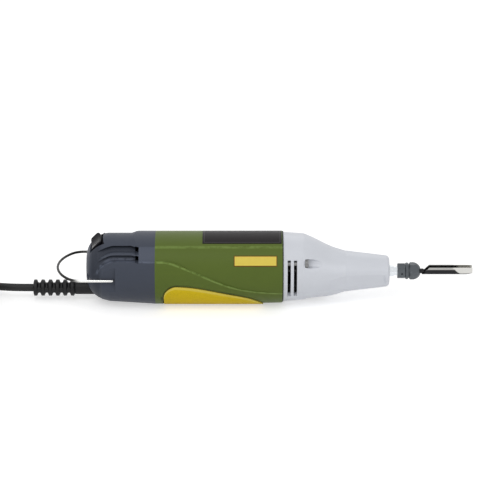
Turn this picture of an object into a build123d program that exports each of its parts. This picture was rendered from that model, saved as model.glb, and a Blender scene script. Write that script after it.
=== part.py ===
from build123d import *
import math
import os

# Power carving chisel: a slim mains tool whose motor drives a hammer action for carving gouges.
# Millimetres. X runs forward to the blade and Z up. The origin lies under the middle of the barrel,
# on the flat strip that the tool rests on. The -Y side is the side with the nameplate.

# Barrel
barrel_length = 87.0
barrel_radius = 25.0
barrel_wall = 2.6
crown_drop = 1.2
crown_radius = 32.4
belly_rise = 0.8
belly_fade_length = 38.5
rest_strip_width = 16.0
edge_height_rear = 13.8
edge_height_front = -9.4
edge_falls = ((0.08, 0.0), (0.27, 0.23), (0.47, 0.56), (0.67, 0.84), (1.0, 1.0))

# Rear cap
cap_length = 47.5
cap_shoulder_length = 11.0
cap_chamfer_length = 5.5
cap_waist_radius = barrel_radius - 1.8
cap_dome_radius = 16.0
cap_wall = 2.0
cap_duct_wall = 4.0
spigot_length = 3.2
cheek_length = 40.5
cheek_corner_radius = 13.0
cheek_round = ((0.0, -2.8), (4.0, -0.5), (9.0, 0.7))
duct_width = 3.4
duct_floor_radius = cap_waist_radius - 2.0
duct_angles = (54.5, 38.5)
vent_length = 2.4

# Switch on the sloping rear corner
switch_slope = 45.0
switch_back = 40.1
switch_height = 18.4
rocker_length = 15.0
rocker_width = 9.0
rocker_depth = 6.0
rocker_tilt = 7.0
switch_body_depth = 9.0

# Hanging bail
bail_wire = 1.8
bail_pivot_back = 28.6
bail_half_width = barrel_radius - 1.5
bail_reach = 38.9
bail_straight = 22.0
bail_pin_length = 4.2

# Strain relief and cord
cord_dia = 5.4
cord_drop = 16.3
sleeve_dia = 9.2
sleeve_visible = 8.4
rib_dia = 11.3
rib_pitch = 5.1
rib_width = 2.9
rib_count = 6
groove_dia = 7.4
relief_inside = 12.0

# Soft grip inserts
insert_proud = 0.25
insert_thick = 1.6
insert_rear = 37.6
insert_front = 29.7
insert_gap = 0.7
insert_inner_y = 9.0

# Plates
label_length = 54.0
label_half_width = 10.5
label_front_gap = 0.6
plate_thick = 0.4
plate_depth = 0.2
plate_length = 29.3
plate_height = 7.2
plate_angle = 33.5
plate_front = 39.7

# Gear head
gasket_thick = 0.7
head_length = 73.1
flange_radius = barrel_radius - 1.1
shoulder_length = 13.8
shoulder_radius = barrel_radius - 2.1
taper_length = 29.0
taper_radius = 14.2
nose_radius = 10.9
nose_corner = 2.7
head_wall = 2.6
spindle_drop = 3.5
slot_width = 2.2
slot_pitch = 4.3
slot_start = 2.7
slot_angles = (-35.0, 35.0)
panel_rear = 32.4
panel_front_gap = 3.0
panel_angle = -12.0
panel_depth = 1.1

# Motor
shaft_dia = 6.0
stator_bore = 12.4
armature_radius = 12.0
core_rear = barrel_length / 2 - 32.5
core_length = 34.0
winding_length = 8.0
commutator_dia = 15.0
commutator_length = 9.0
fan_dia = 34.6
fan_length = 9.0
fan_blades = 9
rear_bearing_size = (13.0, 5.0, 5.0)
front_bearing_size = (19.0, 6.0, 6.0)
brush_size = (6.0, 4.0, 9.0)
holder_wall = 1.3

# Gears and hammer
gear_module = 0.5
pinion_teeth = 12
cup_teeth = 26
gear_addendum = 0.42
gear_dedendum = 0.6
gear_backlash = 0.10
gear_width = 6.6
cup_wall = 1.5
cup_bearing_size = (19.0, 10.0, 5.0)
press_travel = 2.0
cam_lift = 1.1
cam_radius = 7.4
spindle_dia = 7.6
collar_dia = 12.8
collar_width = 4.0
bush_dia = 10.8
bush_wall_dia = 14.0
rear_bush_length = 5.0
front_bush_length = 9.0
buffer_thick = 1.0
spring_wire = 0.9
spring_coils = 5
guide_pin_dia = 2.0

# Chuck and blade
spindle_out = 3.2
neck_dia = 6.2
neck_length = 2.4
chuck_flats = 10.0
chuck_length = 5.2
tommy_hole_dia = 1.3
chuck_nose_dia = 7.4
chuck_nose_length = 6.8
nut_length = 10.3
nut_ring_dia = 11.6
nut_dia = 12.0
nut_front_dia = 5.2
shank_dia = 3.4
shank_inside = 10.5
blade_length = 36.0
blade_width = 6.0
blade_wall = 0.9
blade_rise = 2.7
blade_runout = 5.0
blade_bevel = 4.0

# Plug: two round pins side by side
plug_pin_dia = 4.0
plug_pin_length = 19.0
plug_pin_spacing = 19.0
plug_width = 35.0
plug_thick = 13.7
plug_length = 29.0
plug_tail_length = 11.0

# Clearances
fit = 0.05
running = 0.3
seat_gap = 0.1
shaft_play = 0.02

# Places that follow from the sizes
belly_radius = barrel_radius + belly_rise
axis_z = math.sqrt(belly_radius**2 - (rest_strip_width / 2) ** 2)
bore_radius = barrel_radius - barrel_wall
stator_radius = bore_radius - running
barrel_rear = -barrel_length / 2
barrel_front = barrel_length / 2
cap_rear = barrel_rear - cap_length
cap_waist = barrel_rear - cap_shoulder_length - cap_chamfer_length
head_rear = barrel_front + gasket_thick
head_front = head_rear + head_length
spindle_z = axis_z - spindle_drop
pivot_x = barrel_rear - bail_pivot_back
cord_z = axis_z - cord_drop
crown_z = barrel_radius - crown_drop - crown_radius


def tube_x(x0, x1, radius, bore=0.0, y=0.0, z=0.0):
    """A round bar or ring along X, centred on (y, z)."""
    ring = Circle(radius)
    if bore > 0:
        ring -= Circle(bore)
    return extrude(Plane.YZ.offset(x0) * Pos(y, z) * ring, x1 - x0)


def tube_y(y0, y1, radius, x=0.0, z=0.0):
    """A round bar along Y, centred on (x, z)."""
    return extrude(Plane((x, y0, z), x_dir=(1, 0, 0), z_dir=(0, 1, 0)) * Circle(radius), y1 - y0)


def block(x0, x1, y0, y1, z0, z1):
    """A box between two corners."""
    size = Box(x1 - x0, y1 - y0, z1 - z0)
    return Pos((x0 + x1) / 2, (y0 + y1) / 2, (z0 + z1) / 2) * size


def side_prism(face, y0, y1):
    """A shape drawn in the side view, local x along X and local y along Z, carried from y0 to y1."""
    return extrude(Plane((0, y1, 0), x_dir=(1, 0, 0), z_dir=(0, -1, 0)) * face, y1 - y0)


def spin_x(points, z):
    """A body turned round an axis along X at height z, from points (x, radius)."""
    outline = make_face(Polyline(*points, close=True))
    return Pos(0, 0, z) * revolve(Plane.XZ * outline, Axis.X)


def at_angle(radius, degrees):
    """The point at an angle up from the -Y side, on a circle round the barrel's axis."""
    turn = math.radians(degrees)
    return -radius * math.cos(turn), axis_z + radius * math.sin(turn)


def mirrored(shape):
    """The shape and its mirror image on the other side."""
    return shape + mirror(shape, Plane.XZ)


def union(shapes):
    """All shapes fused."""
    total = None
    for shape in shapes:
        total = shape if total is None else total + shape
    return total


parts = {}


# Casings

def crown_limit(x0, x1, rise=0.0):
    """The flatter top of barrel and cap, as a wide bar that cuts the round section."""
    return tube_x(x0, x1, crown_radius + rise, z=axis_z + crown_z)


def belly_edge(x0, x1):
    """The side view of everything below the belly's edge line."""
    low = -2.0
    rise = edge_height_rear - edge_height_front
    places = [
        (x0 + along * (x1 - x0), axis_z + edge_height_rear - fallen * rise)
        for along, fallen in edge_falls
    ]
    line = Line((cap_rear, axis_z + edge_height_rear), places[0])
    fall = Spline(*places, tangents=[(1, 0), (1, -0.1)])
    rest = Polyline(
        (x1, axis_z + edge_height_front),
        (x1, low),
        (cap_rear, low),
        (cap_rear, axis_z + edge_height_rear),
    )
    return make_face([line, fall, rest])


def make_barrel_blank():
    """The barrel's outside: a round tube with a flatter crown and a raised belly."""
    upper = tube_x(barrel_rear, barrel_front, barrel_radius, z=axis_z)
    upper &= crown_limit(barrel_rear, barrel_front)
    fade = barrel_front - belly_fade_length
    belly = spin_x(
        [
            (barrel_rear, 0),
            (barrel_rear, belly_radius),
            (fade, belly_radius),
            (barrel_front, barrel_radius),
            (barrel_front, 0),
        ],
        axis_z,
    )
    below = side_prism(belly_edge(barrel_rear, barrel_front), -belly_radius - 2, belly_radius + 2)
    return upper + (belly & below)


def rest_flat(x0, x1):
    """The space under the flat resting strip."""
    return block(x0, x1, -belly_radius, belly_radius, -belly_radius, 0)


def insert_outline(grow):
    """The side view of a grip insert, from its round rear end to its point under the front."""
    top = axis_z - 3.8 + grow
    nose = insert_front + grow
    rear = -insert_rear - grow
    mid = axis_z - 10.6 + grow
    bottom = axis_z - belly_radius - 2
    back = ThreePointArc(
        (rear, axis_z - 14.0),
        (rear + 2.4, axis_z - 6.9 + 0.7 * grow),
        (-29.7, top),
    )
    over = Spline((-29.7, top), (7.6, mid), (nose, axis_z - 20.8), tangents=[(1, 0), (0.62, -0.78)])
    rest = Polyline(
        (nose, axis_z - 20.8),
        (nose + 2.0, bottom),
        (rear, bottom),
        (rear, axis_z - 14.0),
    )
    return make_face([back, over, rest])


def insert_side(grow, inner, outer):
    """A curved patch of the belly under the insert's outline, on the -Y side."""
    ring = tube_x(-insert_rear - 2, insert_front + 3, outer, inner, z=axis_z)
    side = side_prism(insert_outline(grow), -belly_radius - 2, -insert_inner_y + grow)
    return ring & side


insert_inner = belly_radius - insert_thick
insert = insert_side(0, insert_inner + seat_gap, belly_radius + insert_proud)
insert -= rest_flat(-insert_rear - 2, insert_front + 3)
parts["grip_insert_right"] = insert
parts["grip_insert_left"] = mirror(insert, Plane.XZ)


def label_patch(low, high, grow):
    """The rating label's patch of the crown, between two heights over the crown."""
    front = barrel_front - label_front_gap + grow
    rear = front - label_length - 2 * grow
    ring = tube_x(rear, front, crown_radius + high, crown_radius + low, z=axis_z + crown_z)
    half = label_half_width + grow
    return ring & block(rear, front, -half, half, axis_z, axis_z + 2 * barrel_radius)


def nameplate_patch(low, high, grow):
    """The nameplate's patch of the side, between two heights over the barrel's round."""
    half = plate_height / 2 + grow
    front = plate_front + grow
    rear = plate_front - plate_length - grow
    ring = tube_x(rear, front, barrel_radius + high, barrel_radius + low, z=axis_z)
    band = Pos(0, -barrel_radius, 0) * Box(200, 2 * barrel_radius, 2 * half)
    return ring & (Pos(0, 0, axis_z) * Rot(-plate_angle, 0, 0) * band)


parts["rating_label"] = label_patch(fit - plate_depth, plate_thick - plate_depth, 0)
parts["nameplate"] = nameplate_patch(fit - plate_depth, plate_thick - plate_depth, 0)

screw_circle = bore_radius - 1.4
screw_dia = 3.0
screw_head_dia = 5.8
screw_head_height = 2.3
pocket_radius = screw_head_dia / 2 + 0.25
pocket_wall = 0.9
pocket_length = 9.0
screw_boss_radius = 2.8
screw_boss_length = 11.5
screw_seat = head_rear + 14.6
screw_angles = (30.0, 150.0, 270.0)


def make_barrel():
    """The hollow barrel with its pockets, screw bosses and resting strip."""
    barrel = make_barrel_blank()
    barrel -= tube_x(barrel_rear - 1, barrel_front + 1, bore_radius, z=axis_z)
    for angle in screw_angles:
        y, z = at_angle(screw_circle, angle)
        boss = tube_x(barrel_front - screw_boss_length, barrel_front, screw_boss_radius, y=y, z=z)
        barrel += boss & tube_x(barrel_rear, barrel_front, barrel_radius - 0.5, z=axis_z)
    for angle in screw_angles:
        y, z = at_angle(screw_circle, angle)
        start = barrel_front - screw_boss_length + 1
        barrel -= tube_x(start, barrel_front + 1, screw_dia / 2 + fit, y=y, z=z)
    pocket = insert_side(insert_gap, insert_inner, belly_radius + 3)
    barrel -= mirrored(pocket)
    barrel -= label_patch(-plate_depth, 2, seat_gap)
    barrel -= nameplate_patch(-plate_depth, 2, seat_gap)
    return barrel - rest_flat(barrel_rear - 1, barrel_front + 1)


parts["motor_housing"] = make_barrel()


# Rear cap

cheek_rear = barrel_rear - cheek_length
duct_front = barrel_rear - cap_shoulder_length
flat_y = bail_half_width - bail_wire / 2 - running
switch_x = barrel_rear - switch_back
slope = math.radians(switch_slope)
slope_plane = Plane(
    (switch_x, 0, axis_z + switch_height),
    x_dir=(math.cos(slope), 0, math.sin(slope)),
    z_dir=(-math.sin(slope), 0, math.cos(slope)),
)


def cap_profile(inset, dome):
    """The cap's turned outline as (x, radius) points and arcs, drawn in by a wall."""
    shoulder = barrel_rear - cap_shoulder_length
    waist = cap_waist_radius - inset
    rear = cap_rear + inset
    start = rear + dome
    flat = waist - dome
    turn = dome * math.sin(math.pi / 4)
    lines = Polyline(
        (start, waist),
        (cap_waist, waist),
        (shoulder, barrel_radius - inset),
        (barrel_rear, barrel_radius - inset),
        (barrel_rear, 0),
        (rear, 0),
        (rear, flat),
    )
    corner = ThreePointArc((rear, flat), (start - turn, flat + turn), (start, waist))
    return make_face([lines, corner])


def cheek_outline():
    """The side view of the cap's lower half: a straight top edge and a rounded rear corner."""
    top = axis_z + edge_height_rear
    radius = cheek_corner_radius
    turn = radius * math.sin(math.pi / 4)
    corner = ThreePointArc(
        (cheek_rear, top - radius),
        (cheek_rear + radius - turn, top - radius + turn),
        (cheek_rear + radius, top),
    )
    rest = Polyline(
        (cheek_rear + radius, top),
        (barrel_rear, top),
        (barrel_rear, -2),
        (cheek_rear + 4, -2),
        (cheek_rear, 10),
        (cheek_rear, top - radius),
    )
    return make_face([corner, rest])


def duct_cutter(angle):
    """One air groove: straight along the cap's flank, then bending down towards the rear."""
    height = axis_z + cap_waist_radius * math.sin(math.radians(angle))
    vent = duct_front
    bend = height - (axis_z + edge_height_rear) + cheek_corner_radius + duct_width / 2 - 1.0
    centre_x = cheek_rear + cheek_corner_radius
    outer = bend + duct_width / 2
    inner = bend - duct_width / 2
    ring = Pos(centre_x, height - bend) * (Circle(outer) - Circle(inner))
    corner = Pos(centre_x - outer, height - bend + outer) * Rectangle(2 * outer, 2 * outer)
    run = Pos((centre_x + vent) / 2, height) * Rectangle(vent - centre_x, duct_width)
    path = (ring & corner) + run
    cutter = side_prism(path, -belly_radius - 2, 0)
    return cutter - tube_x(cap_rear - 1, barrel_rear, duct_floor_radius, z=axis_z)


def vent_cutter(angle):
    """The opening at the front end of an air groove, through the cap's wall."""
    height = axis_z + cap_waist_radius * math.sin(math.radians(angle))
    half = duct_width / 2 + 0.3
    return block(duct_front - vent_length, duct_front, -belly_radius - 2, -8, height - half, height + half)


def make_cap_blank():
    """The cap's outside, with its cheeks, resting strip and flat sides for the bail."""
    core = Pos(0, 0, axis_z) * revolve(Plane.XZ * cap_profile(0, cap_dome_radius), Axis.X)
    core &= crown_limit(cap_rear - 1, barrel_rear)
    rounding = [(cheek_rear + along, cap_waist_radius + out) for along, out in cheek_round]
    cheek = spin_x(
        [(cheek_rear, 0), *rounding, (barrel_rear, belly_radius), (barrel_rear, 0)],
        axis_z,
    )
    cheek &= side_prism(cheek_outline(), -belly_radius - 2, belly_radius + 2)
    blank = core + cheek
    pocket = block(
        cap_rear - 1,
        pivot_x + bail_wire / 2 + 2 * running,
        -belly_radius - 2,
        -flat_y,
        -2,
        2 * axis_z,
    )
    return blank - mirrored(pocket) - rest_flat(cap_rear - 1, barrel_rear + 1)


def switch_block(length, width, low, high):
    """A box on the sloping rear corner, long side across the tool."""
    middle = (low + high) / 2
    return slope_plane * Pos(0, 0, middle) * Box(width, length, high - low)


rocker_pivot_depth = 3.0
rocker_pin_radius = 1.0
rocker_gap = 0.3
frame_wall = 0.8
frame_depth = 1.0
cap_screw_y = 13.5
cap_screw_z = axis_z - 2.0
cap_screw_head_dia = 5.5
cap_screw_dia = 3.0
cap_screw_seat = cap_rear + 5.0
cap_screw_tip = barrel_rear + 5.4
relief_bore = sleeve_dia / 2 + fit
relief_flange_width = 2.0
relief_flange_rise = 1.2
clamp_x = cap_rear + relief_inside + 6.0
clamp_width = 6.0
clamp_screw_y = 6.0
clamp_screw_radius = 1.3


def clamp_posts():
    """The two posts on the cap's floor that the cord clamp is screwed to."""
    half = clamp_width / 2
    posts = block(clamp_x - half, clamp_x + half, -8.4, 8.4, 2.0, cord_z - 0.1)
    return posts - block(clamp_x - half - 1, clamp_x + half + 1, -cord_dia / 2, cord_dia / 2, 0, cord_z)


def make_rear_cap():
    """The hollow cap, its spigot, air grooves, screw tubes and openings."""
    cap = make_cap_blank()
    hollow = Pos(0, 0, axis_z) * revolve(
        Plane.XZ * cap_profile(cap_duct_wall, cap_dome_radius - 1.5), Axis.X
    )
    cap -= hollow & crown_limit(cap_rear, barrel_rear, -cap_wall)
    cap -= tube_x(cap_waist + vent_length + 1, barrel_rear + 1, bore_radius - 2.2, z=axis_z)
    cap += tube_x(
        barrel_rear - 2,
        barrel_rear + spigot_length,
        bore_radius - seat_gap,
        bore_radius - 2.2,
        z=axis_z,
    )
    for side in (-1, 1):
        y = side * cap_screw_y
        cap += tube_x(cap_rear + 3, barrel_rear - 2, 3.4, y=y, z=cap_screw_z) & make_cap_blank()
        cap -= tube_x(cap_rear - 1, cap_screw_seat, cap_screw_head_dia / 2 + 0.2, y=y, z=cap_screw_z)
        cap -= tube_x(cap_rear, barrel_rear, cap_screw_dia / 2 + fit, y=y, z=cap_screw_z)
    for angle in duct_angles:
        cap -= mirrored(duct_cutter(angle))
        cap -= mirrored(vent_cutter(angle))
    for side in (-1, 1):
        y = side * bail_half_width
        cap += tube_y(
            min(side * (flat_y - 5.2), side * flat_y),
            max(side * (flat_y - 5.2), side * flat_y),
            2.6,
            x=pivot_x,
            z=axis_z,
        )
        cap -= tube_y(min(y, y - side * 5.2), max(y, y - side * 5.2), bail_wire / 2 + fit, pivot_x, axis_z)
    cap += tube_x(
        cap_rear + 2.5, cap_rear + 11, relief_bore + 1.6, z=cord_z
    ) & make_cap_blank()
    cap -= tube_x(cap_rear - 2, cap_rear + 20, relief_bore, z=cord_z)
    flange_rear = cap_rear + relief_inside - relief_flange_width
    flange_bore = sleeve_dia / 2 + relief_flange_rise + fit
    cap -= tube_x(flange_rear - fit, flange_rear + relief_flange_width + 1, flange_bore, z=cord_z)
    cap += clamp_posts() & make_cap_blank()
    for side in (-1, 1):
        cap -= Pos(clamp_x, side * clamp_screw_y, cord_z + 1.0) * Cylinder(clamp_screw_radius + fit, 9.2)
    cap -= switch_block(rocker_length + 60, rocker_width + 30, 0.6, 30)
    recess = 2 * (frame_wall + rocker_gap) + 0.6
    cap -= switch_block(rocker_length + recess, rocker_width + recess, -frame_depth, 3)
    opening = 2 * (frame_wall + rocker_gap + seat_gap)
    cap -= switch_block(rocker_length + opening, rocker_width + opening, -12, 3)
    return cap


parts["rear_cap"] = make_rear_cap()


def cap_screw(y):
    """A long screw from the cap's rear face into the bearing bridge."""
    screw = tube_x(cap_screw_seat - 2.4, cap_screw_seat - fit, cap_screw_head_dia / 2, y=y, z=cap_screw_z)
    screw += tube_x(cap_screw_seat - 1, cap_screw_tip, cap_screw_dia / 2, y=y, z=cap_screw_z)
    cross = block(cap_screw_seat - 3, cap_screw_seat - 1.4, y - 1.7, y + 1.7, cap_screw_z - 0.4, cap_screw_z + 0.4)
    cross += block(cap_screw_seat - 3, cap_screw_seat - 1.4, y - 0.4, y + 0.4, cap_screw_z - 1.7, cap_screw_z + 1.7)
    return screw - cross


parts["cap_screws"] = cap_screw(-cap_screw_y) + cap_screw(cap_screw_y)

# Rocker switch: the rocker tilts on a pin that runs up the slope
rocker_hinge = slope_plane.origin - slope_plane.z_dir * rocker_pivot_depth


def rocker_pin(half_length, radius):
    """The rocker's pivot pin, or with a larger radius the hole for it."""
    middle = Plane(rocker_hinge, x_dir=(0, 1, 0), z_dir=slope_plane.x_dir)
    return extrude(middle * Circle(radius), half_length, both=True)


def make_rocker():
    """The rocker, with a shallow valley across its top and round ears under it, tilted to off."""
    rise = math.tan(math.radians(rocker_tilt)) * rocker_length / 2
    outline = Polyline(
        (-rocker_length / 2, rise + 1.6),
        (0, 1.1),
        (rocker_length / 2, rise + 1.6),
        (rocker_length / 2 - 0.9, -1.5),
        (2.8, 1.0 - rocker_depth),
        (-2.8, 1.0 - rocker_depth),
        (-rocker_length / 2 + 0.9, -1.5),
        close=True,
    )
    across = Plane(slope_plane.origin, x_dir=(0, -1, 0), z_dir=slope_plane.x_dir)
    body = extrude(across * make_face(outline), rocker_width / 2, both=True)
    body += rocker_pin(rocker_width / 2 + rocker_gap + frame_wall - 0.2, rocker_pin_radius)
    return body.rotate(Axis(rocker_hinge, slope_plane.x_dir), rocker_tilt)


parts["switch_rocker"] = make_rocker()


def make_switch_body():
    """The switch under the rocker: an open cup with two pivot holes, and its two terminals."""
    room_length = rocker_length + 2 * rocker_gap
    room_width = rocker_width + 2 * rocker_gap
    top = -frame_depth
    body = switch_block(
        room_length + 2 * frame_wall, room_width + 2 * frame_wall, -switch_body_depth, top
    )
    body -= switch_block(room_length, room_width, -rocker_depth - 0.6, 3)
    body -= rocker_pin(room_width / 2 + frame_wall + 1, rocker_pin_radius + fit)
    for side in (-1, 1):
        place = slope_plane * Pos(0, side * (rocker_length / 2 - 2.4), -switch_body_depth - 2.0)
        body += place * Box(2.8, 0.8, 4.4)
    return body


parts["switch_body"] = make_switch_body()


# Hanging bail: a wire bow with two short ends that turn inwards

bail_corner = 12.5
bail_bend = 1.4


def make_bail():
    """The bail: pin, straight leg, an oval bow of three arcs, straight leg and pin, as one wire."""
    leg_end = pivot_x - bail_straight
    half = bail_half_width
    tip = half - bail_pin_length
    depth = bail_reach - bail_straight
    corner_y = half - bail_corner
    # the bow's middle arc touches both corner arcs from outside
    sink = (corner_y**2 - (depth - bail_corner) ** 2) / (2 * (depth - bail_corner))
    bow = depth + sink
    touch_x = leg_end + sink - bow * sink / (bow - bail_corner)
    touch_y = bow * corner_y / (bow - bail_corner)
    turn = math.atan2(touch_y - corner_y, leg_end - touch_x)
    half_turn = (turn + math.pi / 2) / 2
    mid_x = leg_end - bail_corner * math.cos(half_turn)
    mid_y = corner_y + bail_corner * math.sin(half_turn)
    bend_mid = bail_bend * (1 - math.sin(math.pi / 4))
    bend_x = pivot_x - bail_bend
    bend_y = half - bail_bend
    pieces = [
        Line((pivot_x, -tip), (pivot_x, -bend_y)),
        ThreePointArc((pivot_x, -bend_y), (pivot_x - bend_mid, bend_mid - half), (bend_x, -half)),
        Line((bend_x, -half), (leg_end, -half)),
        ThreePointArc((leg_end, -half), (mid_x, -mid_y), (touch_x, -touch_y)),
        ThreePointArc((touch_x, -touch_y), (leg_end - depth, 0), (touch_x, touch_y)),
        ThreePointArc((touch_x, touch_y), (mid_x, mid_y), (leg_end, half)),
        Line((leg_end, half), (bend_x, half)),
        ThreePointArc((bend_x, half), (pivot_x - bend_mid, half - bend_mid), (pivot_x, bend_y)),
        Line((pivot_x, bend_y), (pivot_x, tip)),
    ]
    path = Pos(0, 0, axis_z) * Wire(pieces)
    start = Plane((pivot_x, -tip, axis_z), x_dir=(1, 0, 0), z_dir=(0, -1, 0))
    return sweep(start * Circle(bail_wire / 2), path=path)


parts["hanging_bail"] = make_bail()

# Strain relief: a sleeve in the cap, then ribs round the cord
relief_front = cap_rear + relief_inside
ribs_front = cap_rear - sleeve_visible
rib_margin = 0.4
relief_rear = ribs_front - rib_margin - (rib_count - 1) * rib_pitch - rib_width


def make_strain_relief():
    """A rubber sleeve with a collar inside the cap, a row of ribs and a bore for the cord."""
    body = tube_x(ribs_front, relief_front, sleeve_dia / 2, z=cord_z)
    body += tube_x(relief_rear, ribs_front, groove_dia / 2, z=cord_z)
    for place in range(rib_count):
        front = ribs_front - rib_margin - place * rib_pitch
        rib = spin_x(
            [
                (front - rib_width, 0),
                (front - rib_width, groove_dia / 2),
                (front - rib_width + 0.5, rib_dia / 2),
                (front - 0.5, rib_dia / 2),
                (front, groove_dia / 2),
                (front, 0),
            ],
            cord_z,
        )
        body += rib
    flange = sleeve_dia / 2 + relief_flange_rise
    body += tube_x(relief_front - relief_flange_width, relief_front, flange, z=cord_z)
    return body - tube_x(relief_rear, relief_front + 1, cord_dia / 2 + fit, z=cord_z)


parts["strain_relief"] = make_strain_relief()

# The cord's end inside the cap, under a clamp bar
clamp_bar_top = cord_z + cord_dia / 2 + 2.4
parts["inner_cord"] = tube_x(relief_rear, clamp_x + clamp_width, cord_dia / 2, z=cord_z)


def make_cord_clamp():
    """A bar with a saddle that holds the cord's sheath down."""
    bar = block(clamp_x - clamp_width / 2, clamp_x + clamp_width / 2, -8.4, 8.4, cord_z, clamp_bar_top)
    bar -= tube_x(clamp_x - 5, clamp_x + 5, cord_dia / 2, z=cord_z)
    for side in (-1, 1):
        bar -= Pos(clamp_x, side * clamp_screw_y, cord_z) * Cylinder(clamp_screw_radius + fit, 20)
    return bar


def make_clamp_screws():
    """Two screws through the clamp bar, standing on its top."""
    screws = []
    for side in (-1, 1):
        head = Pos(clamp_x, side * clamp_screw_y, clamp_bar_top + 0.8) * Cylinder(2.3, 1.6)
        shank = Pos(clamp_x, side * clamp_screw_y, cord_z + 1.0) * Cylinder(clamp_screw_radius, 9.0)
        cross = Pos(clamp_x, side * clamp_screw_y, clamp_bar_top + 1.4) * (Box(3, 0.7, 1.2) + Box(0.7, 3, 1.2))
        screws.append(head + shank - cross)
    return union(screws)


parts["cord_clamp"] = make_cord_clamp()
parts["clamp_screws"] = make_clamp_screws()


# Gear head

head_bore = 20.6
boss_radius = 3.2
cavity_length = 28.7
cup_bearing_x = head_rear + cavity_length + seat_gap
cam_cavity_radius = 8.4
lip_length = 1.3
shoulder_x = head_rear + shoulder_length
taper_x = shoulder_x + taper_length


def head_circle(x, inset):
    """The gear head's round section at x: it narrows evenly while its centre sinks to the spindle."""
    share = (x - shoulder_x) / taper_length
    radius = shoulder_radius + share * (taper_radius - shoulder_radius) - inset
    sink = min(1.0, share / 0.8)
    drop = spindle_drop * sink * sink * (3 - 2 * sink)
    return Plane.YZ.offset(x) * Pos(0, axis_z - drop) * Circle(radius)


def head_taper(end, inset, count):
    """The part of the gear head between its shoulder and x = end."""
    step = (end - shoulder_x) / (count - 1)
    return loft([head_circle(shoulder_x + place * step, inset) for place in range(count)])


def make_nose():
    """The turned nose round the spindle, with a rounded front corner."""
    turn = nose_corner * math.sin(math.pi / 4)
    lines = Polyline(
        (head_front, nose_radius - nose_corner),
        (head_front, 0),
        (taper_x, 0),
        (taper_x, taper_radius),
        (head_front - nose_corner, nose_radius),
    )
    corner = ThreePointArc(
        (head_front - nose_corner, nose_radius),
        (head_front - nose_corner + turn, nose_radius - nose_corner + turn),
        (head_front, nose_radius - nose_corner),
    )
    return Pos(0, 0, spindle_z) * revolve(Plane.XZ * make_face([lines, corner]), Axis.X)


def wedge(angles, x0, x1):
    """A wedge round the barrel's axis between two angles up from the -Y side."""
    reach = 2 * belly_radius
    points = [(0, axis_z)]
    for share in range(4):
        turn = math.radians(angles[0] + share * (angles[1] - angles[0]) / 3)
        points.append((-reach * math.cos(turn), axis_z + reach * math.sin(turn)))
    return extrude(Plane.YZ.offset(x0) * make_face(Polyline(*points, close=True)), x1 - x0)


def head_slots():
    """The air slots on both sides of the flange."""
    slots = []
    for place in range(2):
        rear = head_rear + slot_start + place * slot_pitch
        ring = tube_x(rear, rear + slot_width, belly_radius, fan_dia / 2, z=axis_z)
        slots.append(ring & wedge(slot_angles, rear, rear + slot_width))
    return mirrored(union(slots))


def head_panel():
    """The space outside the flat finger panel on the -Y side of the nose."""
    turn = math.radians(panel_angle)
    out = (0, -math.cos(turn), math.sin(turn))
    rear = head_rear + panel_rear
    front = head_front - panel_front_gap
    share = (rear - shoulder_x) / taper_length
    rear_radius = shoulder_radius + share * (taper_radius - shoulder_radius)
    outline = Polyline(
        (rear, rear_radius - 0.5 * panel_depth),
        (taper_x, taper_radius - panel_depth),
        (front, nose_radius - 0.8 * panel_depth),
        (front, 40),
        (rear, 40),
        close=True,
    )
    sheet = Plane((0, 0, spindle_z), x_dir=(1, 0, 0), z_dir=Vector(1, 0, 0).cross(Vector(out)))
    return extrude(sheet * make_face(outline), nose_radius, both=True)


crest_x = cup_bearing_x + cup_bearing_size[2] + 2.8 + cam_lift
striker_rear = crest_x + press_travel + fit
striker_front = striker_rear + cam_lift + 2.9
bush_rear_x = striker_front + running
spring_rear = bush_rear_x + rear_bush_length
front_bush_x = head_front - lip_length - front_bush_length
collar_front = front_bush_x - buffer_thick - running
collar_rear = collar_front - collar_width
guide_pin_x = (collar_rear + collar_front - press_travel) / 2


def make_gear_head():
    """The die-cast head: cavity for fan and gears, stepped spindle bore, slots, screws, panel."""
    outside = spin_x(
        [
            (head_rear, 0),
            (head_rear, flange_radius),
            (shoulder_x, shoulder_radius),
            (shoulder_x, 0),
        ],
        axis_z,
    )
    outside += head_taper(taper_x, 0, 7)
    outside += make_nose()
    cavity_front = head_rear + cavity_length
    head = outside - tube_x(head_rear - 1, shoulder_x, head_bore, z=axis_z)
    head -= head_taper(cavity_front, head_wall, 4)
    for angle in screw_angles:
        y, z = at_angle(screw_circle, angle)
        boss = tube_x(head_rear, screw_seat, boss_radius, y=y, z=z)
        boss += tube_x(screw_seat - 1, screw_seat + pocket_length, pocket_radius + pocket_wall, y=y, z=z)
        head += boss & outside
    for angle in screw_angles:
        y, z = at_angle(screw_circle, angle)
        head -= tube_x(head_rear - 1, screw_seat + 1, screw_dia / 2 + fit, y=y, z=z)
        head -= tube_x(screw_seat, screw_seat + 14, pocket_radius, y=y, z=z)
    bearing_front = cup_bearing_x + cup_bearing_size[2]
    head -= tube_x(cavity_front - 1, bearing_front, cup_bearing_size[0] / 2 + fit, z=spindle_z)
    head -= tube_x(cavity_front, bush_rear_x, cam_cavity_radius, z=spindle_z)
    head -= tube_x(cavity_front, front_bush_x, bush_wall_dia / 2 + fit, z=spindle_z)
    head -= tube_x(cavity_front, head_front - lip_length, bush_dia / 2 + fit, z=spindle_z)
    head -= tube_x(cavity_front, head_front + 1, spindle_dia / 2 + running, z=spindle_z)
    pin = Pos(guide_pin_x, 0, spindle_z - nose_radius) * Cylinder(guide_pin_dia / 2 + fit, 2 * nose_radius)
    head -= pin & block(0, head_front, -9, 9, -9, spindle_z - 3)
    return head - head_slots() - mirrored(head_panel())


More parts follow.
